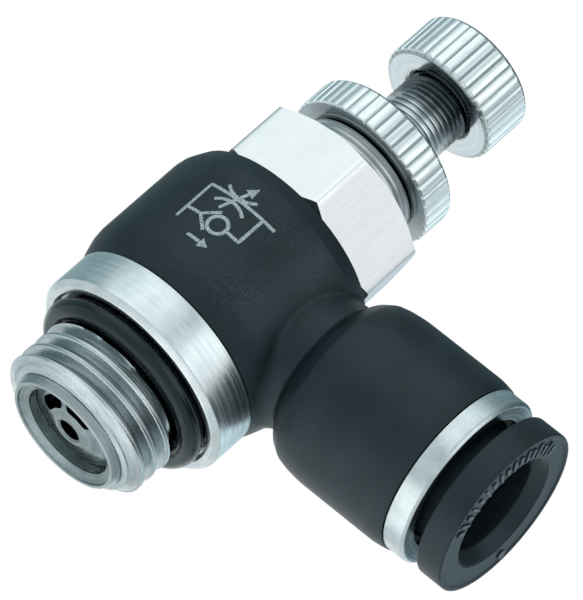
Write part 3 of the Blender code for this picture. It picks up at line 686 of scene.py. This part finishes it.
def highlit_mark_plastic(name):
    """The same plastic on the raised marks, painted lighter as a highlight where they stand proud, with
    paler patches.
    """
    look = Look(name, gloss_tint=SLATE_GLOSS)
    patch = look.noise(2.5)
    grain = look.noise(11.0, roughness=0.7)
    # painted highlight: the marks are coloured lighter than the ring
    look.colour(look.span(patch, 0.35, 0.65), MARK_HIGHLIGHT_DEEP, MARK_HIGHLIGHT_LIGHT)
    look.roughness(grain, 0.25, 0.4)
    look.bumps((grain, 0.006))
    return look.material


def belt_scuffs(look, speck):
    """How scuffed the body is: small light flecks at the belt's edges, and most in a few rubbed spots."""
    away = look.away()
    on_belt = look.times(look.span(away, BELT_R - 0.5, BELT_R - 0.1),
                         look.span(away, BELT_R + 0.03, BELT_R + 0.12, 1.0, 0.0))
    top, bottom = BODY_OUTLINE[3][1], BODY_OUTLINE[4][1]
    middle, half = (top + bottom) / 2, (top - bottom) / 2
    off_middle = look.maths("ABSOLUTE", look.maths("SUBTRACT", look.height(), middle))
    edge = look.span(off_middle, half - 1.5, half, 0.0, 0.35)
    patch = look.span(look.noise(0.3, 2.0), 0.5, 0.65, 0.15, 1.0)
    rubbed = look.times(edge, patch)
    for turn, height, reach in SCUFFED_SPOTS:
        angle = radians(turn)
        spot = (BELT_R * cos(angle), BELT_R * sin(angle), height)
        near = look.length(look.vector("SUBTRACT", look.place, spot))
        rubbed = look.plus(rubbed, look.span(near, 0.3, reach, 0.75, 0.0), clamp=True)
    fine = look.noise(9.0, roughness=0.75)
    fleck = look.plus(look.span(speck, 0.55, 0.72, 0.0, 0.35), look.span(fine, 0.5, 0.7, 0.0, 0.5))
    return look.times(look.times(on_belt, rubbed), fleck)


def rubber(name, roughness):
    """Black nitrile rubber, oiled, with a little dust."""
    look = Look(name, gloss_tint=SLATE_GLOSS)
    cloud = look.noise(0.8)
    fine = look.noise(9.0, 2.0)
    look.colour(look.span(cloud, 0.35, 0.7), RUBBER_DEEP, RUBBER_LIGHT)
    look.roughness(fine, *roughness)
    look.bumps((fine, 0.004), (cloud, 0.03))
    return look.material


def acetal(name):
    """Natural acetal of the seal support, faintly mottled."""
    look = Look(name)
    cloud = look.noise(0.9)
    look.colour(cloud, ACETAL_DEEP, ACETAL_LIGHT)
    look.roughness(cloud, 0.42, 0.56)
    look.bumps((look.noise(10.0, 2.0), 0.004))
    return look.material


def marking_paint(name):
    """Pale pad-printed ink, broken by the plastic's grain."""
    look = Look(name)
    grain = look.noise(9.0, roughness=0.7)
    look.colour(look.span(grain, 0.46, 0.62), INK, INK_GAP)
    look.roughness(grain, 0.45, 0.7)
    look.bumps((grain, 0.006))
    return look.material


# ---------------------------------------------------------------- the stem and what is inside it
def finished(obj, material, body, slot, *nodes):
    """Give a piece its material and body, and hide the CAD nodes that it stands for; slot is not used."""
    obj.data.materials.clear()
    obj.data.materials.append(material)
    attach(obj, body)
    if nodes:
        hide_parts(*nodes)


def make_turned(name, outline, material, body, slot, node, **how):
    """A turned piece that stands for one CAD node and needs no further shaping."""
    finished(turned(name, outline, **how), material, body, slot, node)


def make_stem():
    """Threaded stud, collar with its O-ring recess, and the barrel that the body turns on."""
    low, high = GALLERY_Z
    outline = [
        (COUNTERBORE_R, BARREL_TOP_Z), (BARREL_R, BARREL_TOP_Z, 0.2), (BARREL_R, high),
        (GALLERY_R, high - GALLERY_SLOPE), (GALLERY_R, low + GALLERY_SLOPE), (BARREL_R, low),
        (BARREL_R, COLLAR_TOP_Z),
        (COLLAR_R, COLLAR_TOP_Z, 0.12), (COLLAR_R, COLLAR_CHAMFER, 0.06),
        (COLLAR_R - COLLAR_CHAMFER, 0.0, 0.08), (RECESS_R, 0.0, 0.06),
        (RECESS_R - 0.15, RECESS_DEPTH, 0.1), (UNDER_THREAD_R, RECESS_DEPTH, 0.15),
        (UNDER_THREAD_R, PORT_THREAD_TOP_Z),
    ]
    upper = turned("stem_upper", outline, closed=False)
    nose_r, nose_z = PORT_NOSE
    chamfer_slope = (PORT_MAJOR_R - nose_r) / (PORT_CHAMFER_Z - nose_z)
    thread_low = nose_z + (PORT_MINOR_R - nose_r) / chamfer_slope
    nose = turned("stem_nose", [
        (PORT_MINOR_R, thread_low), (nose_r + 0.07, nose_z + 0.02), (nose_r - 0.1, nose_z + 0.06),
        (nose_r - 0.05, nose_z - 0.06), (PORT_RIM_R[1], PORT_END_Z, 0.08),
        (PORT_RIM_R[0] + 0.06, PORT_END_Z)], closed=False)

    def limit(height):
        """Radius that the end chamfer and the run-out leave the thread."""
        chamfer = nose_r + (height - nose_z) * chamfer_slope
        run_out = UNDER_THREAD_R + (PORT_THREAD_TOP_Z - height) * PORT_RUN_OUT
        return min(PORT_MAJOR_R, chamfer, run_out)

    thread = threaded("port_thread", PORT_SECTION, PORT_PITCH, thread_low, PORT_THREAD_TOP_Z, limit)
    stem = join(upper, nose, thread)
    stem.name = "stem_turned"
    finished(stem, stud_nickel("stud_nickel"), "stem", "nickel_stem", "stem_base")


def make_stem_bore():
    """Countersunk mouth, its deep wall and the stepped bore through the stem."""
    wall = INSERT_R + 0.03
    outline = [
        (PORT_RIM_R[0] + 0.06, PORT_END_Z), (PORT_RIM_R[0], PORT_END_Z + 0.03), (*MOUTH_STEP, 0.04),
        (wall + 0.1, PORT_MOUTH_Z, 0.05), (wall, PORT_MOUTH_Z + 0.08), (wall, INSERT_Z[1] + 0.03),
        (CHECK_CHAMBER_R, INSERT_Z[1] + 0.03), (CHECK_CHAMBER_R, CHECK_CHAMBER_TOP_Z),
        (STEM_BORE_R, CHECK_CHAMBER_TOP_Z), (STEM_BORE_R, COUNTERBORE_LOW_Z),
        (COUNTERBORE_R, COUNTERBORE_LOW_Z), (COUNTERBORE_R, BARREL_TOP_Z),
    ]
    make_turned("stem_bored", outline, mouth_nickel("mouth_nickel"), "stem", "nickel_stem", "stem_base",
                closed=False)


def kidney_tool(angle_degrees):
    """A kidney-shaped prism about the stem axis, with round ends."""
    inner, outer = SLOT_R
    middle, half_width = (inner + outer) / 2, (outer - inner) / 2
    steps = 12
    outline = []
    for side, radius in ((1, outer), (-1, inner)):
        for step in range(steps + 1):
            angle = radians(angle_degrees + SLOT_SPREAD * (step / steps - 0.5) * side)
            outline.append((radius * cos(angle), radius * sin(angle)))
        end = radians(angle_degrees + SLOT_SPREAD * 0.5 * side)
        start = end if side > 0 else end + pi
        for step in range(1, steps):
            turn = start + pi * step / steps
            outline.append((middle * cos(end) + half_width * cos(turn),
                            middle * sin(end) + half_width * sin(turn)))
    count = len(outline)
    heights = (INSERT_Z[1] + 0.5, INSERT_HUB[1] - 0.5)
    vertices = [(x, y, height) for height in heights for x, y in outline]
    base = tuple(range(2 * count - 1, count - 1, -1))
    return object_from("kidney_tool", vertices, prism_faces(0, count) + [base])


def make_insert():
    """Disc in the stem's mouth: orifice in the middle, two kidney slots, turning rings on its face."""
    low, high = INSERT_Z
    hub_r, hub_z = INSERT_HUB
    slope = (low - hub_z) / (INSERT_R - hub_r)
    outline = [(ORIFICE_R + 0.1, SPIGOT_TOP_Z), (SPIGOT_R, SPIGOT_TOP_Z, 0.15), (SPIGOT_R, high),
               (INSERT_R, high), (INSERT_R, low, 0.05)]
    for index in range(INSERT_RINGS):
        radius = INSERT_R - INSERT_RING_STEP * (index + 1)
        height = hub_z + slope * (radius - hub_r)
        outline.append((radius, height + (INSERT_RING_HEIGHT if index % 2 else 0.0)))
    outline += [(hub_r, hub_z, 0.08), (ORIFICE_R + 0.12, hub_z), (ORIFICE_R, hub_z + 0.14),
                (ORIFICE_R, SPIGOT_TOP_Z - 0.1)]
    insert = turned("seat_insert_turned", outline, SMALL_COLUMNS)
    for angle in SLOT_ANGLES:
        combine(insert, kidney_tool(angle), "DIFFERENCE")
    finished(insert, mouth_nickel("insert_nickel"), "stem", "nickel_insert", "seat_insert")


def make_check_ring():
    """Rubber ring that floats above the kidney slots."""
    (inner, outer), (low, high) = CHECK_RING_R, CHECK_RING_Z
    outline = [(inner, high, 0.06), (outer, high, 0.12), (outer, low, 0.06), (inner, low, 0.06)]
    make_turned("check_ring_moulded", outline, rubber("check_rubber", (0.45, 0.6)), "check",
                "check_rubber", "check_ring", columns=SMALL_COLUMNS)


def hexagon_radius(angle):
    """Distance from the axis to the hexagon's side at an angle, with its corners turned down."""
    off_flat = (degrees(angle) - HEX_TURN) % 60.0 - 30.0
    return min(HEX_ACROSS_FLATS / 2 / cos(radians(off_flat)), HEX_CORNER_R)


def make_bonnet():
    """Hexagon with its chamfered top, boss, and the spigot inside the barrel."""
    low, high = HEX_Z
    middle = (low + high) / 2
    slope = tan(radians(30))

    def shape(radius, height, angle):
        """Bring a point on the hexagon in to its flat, and out along the 30 degree chamfers."""
        if radius < HEX_ACROSS_FLATS / 2:
            return radius, height
        side = min(radius, hexagon_radius(angle))
        drop = max(0.0, side - HEX_CHAMFER_R) * slope
        return side, (high - drop if height > middle else low + drop)

    cone = [HEX_CHAMFER_R + (HEX_CORNER_R - HEX_CHAMFER_R) * step / 4 for step in range(5)]
    groove_r = BOSS_R - BOSS_GROOVE_DEPTH
    outline = [(SCREW_BORE_R + 0.2, BOSS_TOP_Z), (BOSS_R - 0.2, BOSS_TOP_Z, 0.1)]
    for turn in range(BOSS_GROOVES):
        crest = BOSS_TOP_Z - BOSS_PITCH * (turn + 0.5)
        outline += [(BOSS_R, crest + 0.1), (BOSS_R, crest - 0.1), (groove_r, crest - BOSS_PITCH / 2)]
    outline += [(groove_r, high)]
    outline += [(radius, high) for radius in cone]
    outline += [(radius, low) for radius in reversed(cone)]
    outline += [
        (BONNET_SPIGOT_R, low), (BONNET_SPIGOT_R, BONNET_SPIGOT_LOW_Z, 0.2),
        (PISTON_BORE_R, BONNET_SPIGOT_LOW_Z), (PISTON_BORE_R, PISTON_BORE_TOP_Z),
        (SCREW_BORE_R, PISTON_BORE_TOP_Z), (SCREW_BORE_R, BOSS_TOP_Z - 0.2),
    ]
    beside = [radians(60 * corner + side) for corner in range(6) for side in (-HEX_EDGE, HEX_EDGE)]
    angles = [radians(HEX_TURN) + angle for angle in sorted(even_angles(HEX_COLUMNS) + beside)]
    bonnet = turned("hex_bonnet_drawn", outline, angles=angles, shape=shape)
    finished(bonnet, drawn_nickel("hex_nickel"), "stem", "nickel_hex", "hex_bonnet")


def make_screw():
    """Adjusting screw: a fine thread above, and the sealed piston and needle below."""
    bottom, top = BOSS_TOP_Z - 0.6, KNOB_Z[0] + 0.1
    thread = threaded("screw_thread", SCREW_SECTION, SCREW_PITCH, bottom, top, lambda height: SCREW_R,
                      SMALL_COLUMNS)
    low, high = PISTON_Z
    groove_low, groove_high = NEEDLE_SEAL_Z - NEEDLE_GROOVE_HALF, NEEDLE_SEAL_Z + NEEDLE_GROOVE_HALF
    outline = [
        (SCREW_R, bottom), (SCREW_R, high), (PISTON_R, high, 0.15), (PISTON_R, groove_high, 0.05),
        (NEEDLE_GROOVE_R, groove_high), (NEEDLE_GROOVE_R, groove_low), (PISTON_R, groove_low, 0.05),
        (PISTON_R, low, 0.15), (NEEDLE_R, low), *NEEDLE_CONE,
    ]
    lower = turned("screw_lower", outline, SMALL_COLUMNS, closed=False)
    upper = turned("screw_upper", [(0.0, SCREW_TOP_Z), (SCREW_R, SCREW_TOP_Z, 0.2), (SCREW_R, top)],
                   SMALL_COLUMNS, closed=False)
    screw = join(lower, thread, upper)
    screw.name = "needle_screw_cut"
    finished(screw, screw_nickel("screw_nickel"), "screw", "nickel_screw", "needle_screw")


def fluted(name, outline, radius, count):
    """A turned piece whose rim has straight V flutes between flat lands."""
    step = 2 * pi / count
    depths = {}
    for index in range(count):
        for phase, depth in FLUTE_PHASES:
            depths[step * (index + phase)] = depth
    angles = sorted(depths)

    def shape(r, height, angle):
        """Bring a point on the rim in to its flute."""
        return min(r, radius - FLUTE_DEPTH * depths[angle]), height

    return turned(name, outline, angles=angles, shape=shape)


def make_nut():
    """Lock nut with flat turned faces."""
    low, high = NUT_Z
    outline = [(SCREW_BORE_R + 0.25, high, 0.1), (NUT_R - 0.35, high, 0.05), (NUT_R, high - 0.3, 0.12),
               (NUT_R, low + 0.16, 0.05), (NUT_R - 0.2, low, 0.05), (SCREW_BORE_R + 0.25, low),
               (SCREW_BORE_R, low + 0.25), (SCREW_BORE_R, high - 0.25)]
    nut = fluted("lock_nut_fluted", outline, NUT_R, NUT_FLUTES)
    finished(nut, knurl_nickel("nut_nickel", NUT_R, NUT_FACE_SHADE), "nut", "nickel_knurl", "lock_nut")


def make_knob():
    """Adjusting knob with a flat turned underside and a slightly dished top."""
    low, high = KNOB_Z
    outline = [(0.0, high - 0.12), (KNOB_R - 1.0, high - 0.06, 0.2), (KNOB_R - 0.75, high, 0.1),
               (KNOB_R - 0.3, high, 0.05), (KNOB_R, high - 0.3, 0.12), (KNOB_R, low + 0.3, 0.12),
               (KNOB_R - 0.32, low, 0.08), (SCREW_R + 0.35, low, 0.1), (SCREW_R + 0.05, low + 0.3),
               (SCREW_R + 0.05, SCREW_TOP_Z + 0.05), (0.0, SCREW_TOP_Z + 0.05)]
    knob = fluted("adjusting_knob_fluted", outline, KNOB_R, KNOB_FLUTES)
    finished(knob, knurl_nickel("knob_nickel", KNOB_R, KNOB_FACE_SHADE), "screw", "nickel_knurl",
             "adjusting_knob")


def make_stem_seals():
    """The five O-rings on the stem."""
    material = rubber("seal_rubber", (0.13, 0.22))
    for node, body, centre_r, cord_r, height in STEM_O_RINGS:
        ring = o_ring(f"{node}_cord", centre_r, cord_r, height)
        finished(ring, material, body, "seal_rubber", node)


# ---------------------------------------------------------------- the body and its tube port
def eye_radius(height):
    """Radius of the eye's outside at a height."""
    points = list(BODY_OUTLINE)
    for (upper_r, upper_z), (lower_r, lower_z) in zip(points, points[1:]):
        if lower_z <= height <= upper_z:
            share = (height - lower_z) / (upper_z - lower_z)
            return lower_r + (upper_r - lower_r) * share
    return points[0][0] if height > points[0][1] else points[-1][0]


def neck_blend():
    """The hollow moulded blend where the neck leaves the eye, as a band of facets round the neck."""
    columns, steps = 144, 10
    top_room = BODY_OUTLINE[0][1] - NECK_ROOM[0] - TUBE_AXIS_Z
    low_room = TUBE_AXIS_Z - BODY_OUTLINE[-1][1] - NECK_ROOM[1]
    vertices = []
    for angle in even_angles(columns):
        along, across = cos(angle), sin(angle)
        room = (top_room if along > 0 else low_room) / max(abs(along), 1e-6)
        wanted = NECK_BLEND[0] + NECK_BLEND[1] * max(0.0, -along)
        reach = max(NECK_BLEND_LEAST, min(wanted, room - NECK_R))

        def on_eye(radius):
            """Point on the eye's outside at a distance from the tube's axis."""
            y, height = radius * across, TUBE_AXIS_Z + radius * along
            return Vector((sqrt(eye_radius(height) ** 2 - y ** 2), y, height))

        corner = on_eye(NECK_R)
        start = on_eye(NECK_R + reach)
        end = corner + Vector((reach, 0.0, 0.0))
        for step in range(steps + 1):
            share = step / steps
            vertices.append(start.lerp(corner, share).lerp(corner.lerp(end, share), share))
    faces = [face[::-1] for face in grid_faces(columns, steps + 1, closed=True)]
    return object_from("neck_blend", vertices, faces)


def make_body():
    """Moulded eye and tube port in one piece, with their bores."""
    top, low = BODY_OUTLINE[0][1], BODY_OUTLINE[-1][1]
    eye = [(0.0, top)] + [(r, z, ease) for (r, z), ease in zip(BODY_OUTLINE, BODY_EASE)] + [(0.0, low)]
    body = turned("banjo_body_moulded", eye)
    port = [
        (0.0, PORT_SPIGOT_END_X), (PORT_SPIGOT_R, PORT_SPIGOT_END_X), (PORT_SPIGOT_R, PORT_END_X),
        (PORT_R - 0.18, PORT_END_X, 0.06), (PORT_R, PORT_END_X - 1.0, 0.5), *PORT_SHOULDER,
        (NECK_R, NECK_START_X), (0.0, NECK_START_X),
    ]
    combine(body, turned("port_tool", port, PORT_COLUMNS, along_x=True), "UNION")
    bore = [(0.0, top + 1.0), (BODY_BORE_R, top + 1.0), (BODY_BORE_R, low - 1.0), (0.0, low - 1.0)]
    socket = [
        (0.0, PORT_SPIGOT_END_X + 1.0), (CHAMBER_R, PORT_SPIGOT_END_X + 1.0), (CHAMBER_R, CHAMBER_X),
        (TUBE_SOCKET_R, CHAMBER_X), (TUBE_SOCKET_R, TUBE_STOP_X), (PASSAGE_R, TUBE_STOP_X),
        (PASSAGE_R, PASSAGE_START_X), (0.0, PASSAGE_START_X),
    ]
    combine(body, turned("bore_tool", bore, BORE_COLUMNS), "DIFFERENCE")
    combine(body, turned("socket_tool", socket, SOCKET_COLUMNS, along_x=True), "DIFFERENCE")
    join(body, neck_blend())
    finished(body, moulded_plastic("body_plastic", (0.36, 0.5), belt_wear=True), "body", "body_plastic",
             "banjo_body")


def on_belt(across, height, lift):
    """A point on the belt: across is millimetres round it from the symbol's middle."""
    angle = radians(SYMBOL_TURN) + across / BELT_R
    radius = BELT_R + lift
    return (radius * cos(angle), radius * sin(angle), height)


def strip(points, width=SYMBOL_LINE):
    """Vertices and faces of a thin printed line on the belt along a row of (across, height) points."""
    fine = [Vector(points[0])]
    for start, end in zip(points, points[1:]):
        start, end = Vector(start), Vector(end)
        pieces = max(1, ceil((end - start).length / SYMBOL_STEP))
        fine += [start.lerp(end, (index + 1) / pieces) for index in range(pieces)]
    vertices = []
    for index, point in enumerate(fine):
        ahead = (fine[min(index + 1, len(fine) - 1)] - fine[max(index - 1, 0)]).normalized()
        side = Vector((-ahead.y, ahead.x)) * width / 2
        for offset in (side, -side):
            for lift in (SYMBOL_LIFT, SYMBOL_SINK):
                vertices.append(on_belt(*(point + offset), lift))
    faces = []
    for index in range(len(fine) - 1):
        a, b = 4 * index, 4 * index + 4
        faces += [(a, a + 2, b + 2, b), (a + 1, a, b, b + 1), (a + 2, a + 3, b + 3, b + 2)]
    last = 4 * (len(fine) - 1)
    faces += [(0, 1, 3, 2), (last, last + 2, last + 3, last + 1)]
    return vertices, faces


def plate(points):
    """Vertices and faces of a small printed patch on the belt with an outline of (across, height)."""
    vertices = [on_belt(*point, lift) for lift in (SYMBOL_LIFT, SYMBOL_SINK) for point in points]
    return vertices, prism_faces(0, len(points))


def arc(centre, radius, start, end, steps=14):
    """Points of an arc in the symbol's plane, in degrees."""
    points = []
    for step in range(steps + 1):
        angle = radians(start + (end - start) * step / steps)
        points.append((centre[0] + radius * cos(angle), centre[1] + radius * sin(angle)))
    return points


def make_symbol():
    """Plain circuit symbol: an adjustable throttle with a check valve beside it, and a flow arrow."""
    left, right, low, high = SYMBOL_SIDES + SYMBOL_ROWS
    tail, end = SYMBOL_TAILS
    seat, ball = VALVE_SEAT, VALVE_BALL_R
    arrow_low, arrow_row = 7.25, 7.7
    shapes = [
        strip([(left, tail), (left, high), (end, high)]),
        strip([(left, low), (seat, low)]),
        strip([(ball, low), (right, low), (right, high)]),
        strip([(seat + 1.2, low + 1.05), (seat, low), (seat + 1.2, low - 1.05)]),
        strip(arc((0.02, low), ball, 0.0, 360.0, 28), SYMBOL_RING_LINE),
        strip(arc((-0.5, high + 2.13), 2.0, 226.0, 314.0)),
        strip(arc((-0.5, high - 2.43), 2.0, 46.0, 134.0)),
        strip([(-1.03, 10.95), (-0.12, 13.4)]),
        plate([(-0.57, 13.46), (0.3, 13.12), (0.17, 14.15)]),
        strip([(-1.15, arrow_row), (0.15, arrow_row)]),
        plate([(0.1, arrow_low), (0.1, 2 * arrow_row - arrow_low), (0.85, arrow_row)]),
    ]
    vertices, faces = [], []
    for more_vertices, more_faces in shapes:
        offset = len(vertices)
        vertices += more_vertices
        faces += [tuple(index + offset for index in face) for face in more_faces]
    symbol = object_from("circuit_symbol", vertices, faces)
    finished(symbol, marking_paint("marking_paint"), "body", None)


def make_tube_seal():
    """Rubber lip seal and its acetal support, inside the port."""
    how = {"columns": SMALL_COLUMNS, "along_x": True}
    make_turned("tube_seal_lip", TUBE_SEAL_OUTLINE, rubber("tube_seal_rubber", (0.4, 0.55)), "body",
                "seal_rubber", "tube_seal", **how)
    make_turned("seal_support_moulded", SUPPORT_OUTLINE, acetal("support_acetal"), "body",
                "support_plastic", "seal_support", **how)


def carry_over(ring):
    """The grab ring keeps its CAD shape and gets bright spring steel."""
    look = Look("spring_steel", metallic=1.0, anisotropic=0.3)
    streak = look.noise(6.0, stretch=(0.2, 1.0, 1.0))
    look.colour(streak, STEEL_LIGHT, STEEL_DEEP)
    look.roughness(streak, 0.18, 0.32)
    look.bumps((streak, 0.003))
    ring.data.materials.clear()
    ring.data.materials.append(look.material)


def make_port_end():
    """Crimped band and dished guide at the port's open end."""
    start, end = BAND_X
    outline = [
        (BAND_R, end - 0.28, 0.12), (BAND_R - 0.25, end, 0.08), (BAND_WALL_R, end - 0.03, 0.15),
        (BAND_LIP_R, BAND_LIP_X + 0.12, 0.05), (BAND_LIP_R, BAND_LIP_X), (BAND_WALL_R, BAND_LIP_X),
        (BAND_WALL_R, start), (BAND_R, start, 0.08),
    ]
    make_turned("retaining_band_rolled", outline, band_nickel("band_nickel"), "body", "nickel_band",
                "retaining_band", along_x=True)
    make_turned("cartridge_guide_moulded", GUIDE_OUTLINE, moulded_plastic("guide_plastic", (0.42, 0.55)),
                "body", "guide_plastic", "cartridge_guide", columns=SMALL_COLUMNS, along_x=True)


def face_marks():
    """Plain raised ribs round part of the release ring's face, and one raised dot."""
    first, last = MARK_SPAN
    outlines = []
    for index in range(MARK_COUNT):
        angle = radians(first + (last - first) * index / (MARK_COUNT - 1))
        (inner, outer), width = MARK_KINDS[index % 2]
        corners = ((inner, -width), (outer, -width), (outer, width), (inner, width))
        outlines.append([(r * cos(angle + turn), r * sin(angle + turn)) for r, turn in corners])
    turn = radians(MARK_DOT_ANGLE)
    middle = (MARK_DOT_R * cos(turn), MARK_DOT_R * sin(turn))
    outlines.append(arc(middle, MARK_DOT_SIZE, 0.0, 340.0, 17))
    vertices, faces = [], []
    for outline in outlines:
        faces += prism_faces(len(vertices), len(outline))
        for height in (RELEASE_FRONT_X + MARK_LIFT, RELEASE_FRONT_X - MARK_SINK):
            vertices += [(x, y, height) for x, y in outline]
    marks = object_from("face_marks", vertices, faces, along_x=True)
    finished(marks, highlit_mark_plastic("mark_plastic"), "release", "release_plastic")


def make_release_ring():
    """Release ring: dished face inside a raised rim, and the sleeve that reaches the grab ring."""
    front, dish = RELEASE_FRONT_X, RELEASE_FRONT_X - RELEASE_DISH
    slope_r, rim_r = RELEASE_RIM_R
    outline = [
        (RELEASE_BORE_R, front - RELEASE_FUNNEL, 0.15), (RELEASE_MOUTH_R, dish - 0.1, 0.1),
        (RELEASE_MOUTH_R + 0.15, dish), (slope_r, dish, 0.1), (rim_r, front, 0.06),
        (RELEASE_FLANGE_R, front, 0.16), (RELEASE_FLANGE_R, RELEASE_FLANGE_X, 0.2),
        (RELEASE_SLEEVE_R, RELEASE_FLANGE_X, 0.1), (RELEASE_SLEEVE_R, RELEASE_NOSE_X + 0.8),
        (RELEASE_BORE_R + 0.3, RELEASE_NOSE_X, 0.1), (RELEASE_BORE_R, RELEASE_NOSE_X, 0.1),
    ]
    make_turned("release_ring_moulded", outline, moulded_plastic("release_plastic", (0.38, 0.52)),
                "release", "release_plastic", "release_ring", along_x=True)
    face_marks()


# ---------------------------------------------------------------- stage
CAMERA_PLACE = (0.16084, -0.37490, -0.17473)
CAMERA_RIGHT = (0.73499, -0.03255, 0.67729)
CAMERA_UP = (-0.58068, -0.54600, 0.60390)
CAMERA_LENS = 359.6
FLOOR_Z = -250.0                 # millimetres
FLOOR_HALF = 1500.0
FLOOR_LAMPS = (                  # name, place and size in metres, watts
    ("floor_wash", (0.02, 0.05, -0.2), 0.34, 0.3),
    ("far_wash", (-0.23, 0.55, -0.05), 0.5, 0.3),
    ("wide_wash", (0.0, 0.0, -0.21), 3.0, 9.0),
)
SOFT_BOXES = (                   # azimuth, elevation, inner and outer angle in degrees, colour
    (-118.0, 20.0, 14.0, 48.0, (0.54, 0.54, 0.54)),
    (-28.0, 22.0, 10.0, 36.0, (0.80, 0.80, 0.80)),
    (-78.0, 20.0, 25.0, 76.0, (0.40, 0.47, 0.47)),
    (178.0, 20.0, 25.0, 75.0, (0.18, 0.26, 0.27)),
    (108.0, -8.0, 16.0, 46.0, (0.85, 0.85, 0.84)),
    (42.0, 22.0, 8.0, 40.0, (0.52, 0.60, 0.63)),
    (76.0, 24.0, 8.0, 26.0, (0.28, 0.40, 0.45)),
)
DIM_ROOM = (0.075, 0.12, 0.14)


def make_camera():
    """Camera below and in front of the valve, rolled so that the stem leans to the right."""
    data = bpy.data.cameras.new("camera")
    data.sensor_width = 36.0
    data.lens = CAMERA_LENS
    data.clip_start = 0.01
    camera = bpy.data.objects.new("camera", data)
    bpy.context.scene.collection.objects.link(camera)
    right = Vector(CAMERA_RIGHT).normalized()
    up = Vector(CAMERA_UP)
    up = (up - right * up.dot(right)).normalized()
    back = right.cross(up)
    matrix = Matrix((right, up, back)).transposed().to_4x4()
    matrix.translation = Vector(CAMERA_PLACE)
    camera.matrix_world = matrix
    bpy.context.scene.camera = camera


def soft_light(name, place, size, power):
    """A square soft box that shines straight down."""
    data = bpy.data.lights.new(name, "AREA")
    data.size = size
    data.energy = power
    light = bpy.data.objects.new(name, data)
    bpy.context.scene.collection.objects.link(light)
    light.location = place


def make_surroundings():
    """White behind the valve as the camera sees it; for the rest, soft boxes in a dim room."""
    world = bpy.data.worlds.new("surroundings")
    bpy.context.scene.world = world
    world.use_nodes = True
    nodes = Nodes(world.node_tree)
    toward = nodes.add("ShaderNodeTexCoord").outputs["Generated"]
    total = (*DIM_ROOM, 1.0)
    for azimuth, elevation, inner, outer, colour in SOFT_BOXES:
        turn, lift = radians(azimuth), radians(elevation)
        middle = (cos(turn) * cos(lift), sin(turn) * cos(lift), sin(lift))
        facing = nodes.add("ShaderNodeVectorMath", {0: toward, 1: middle}, operation="DOT_PRODUCT")
        edge, core = cos(radians(outer)), cos(radians(inner))
        fade = nodes.span(facing.outputs["Value"], edge, core)
        total = nodes.mix(fade, total, (*colour, 1.0), "ADD")
    seen = nodes.add("ShaderNodeLightPath").outputs["Is Camera Ray"]
    shown = nodes.mix(seen, total, (1.0, 1.0, 1.0, 1.0))
    nodes.set(nodes.tree.nodes["Background"].inputs["Color"], shown)


def make_stage():
    """Pale floor well below the valve, its lamps and the surroundings."""
    sides = ((-1, -1), (1, -1), (1, 1), (-1, 1))
    corners = [(x * FLOOR_HALF, y * FLOOR_HALF, FLOOR_Z) for x, y in sides]
    floor = object_from("floor", corners, [(0, 1, 2, 3)])
    look = Look("floor_paper")
    look.colour(look.noise(0.02, 2.0), PAPER_DEEP, PAPER_LIGHT)
    look.roughness(look.noise(0.1, 2.0), 0.8, 0.9)
    floor.data.materials.append(look.material)

    make_surroundings()
    for lamp in FLOOR_LAMPS:
        soft_light(*lamp)
    bpy.context.scene.view_settings.view_transform = "Standard"


# ---------------------------------------------------------------- the whole valve
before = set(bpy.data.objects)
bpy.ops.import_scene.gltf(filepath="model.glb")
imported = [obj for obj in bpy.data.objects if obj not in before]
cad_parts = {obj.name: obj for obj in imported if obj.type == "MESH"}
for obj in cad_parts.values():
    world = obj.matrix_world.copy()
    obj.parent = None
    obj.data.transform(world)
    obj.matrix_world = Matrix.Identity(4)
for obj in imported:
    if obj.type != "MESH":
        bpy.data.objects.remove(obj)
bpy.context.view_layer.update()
for make in (make_stem, make_stem_bore, make_insert, make_check_ring, make_bonnet, make_screw, make_nut,
             make_knob, make_stem_seals, make_body, make_symbol, make_tube_seal, make_port_end,
             make_release_ring):
    make()
carry_over(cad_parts["grab_ring"])
make_camera()
make_stage()
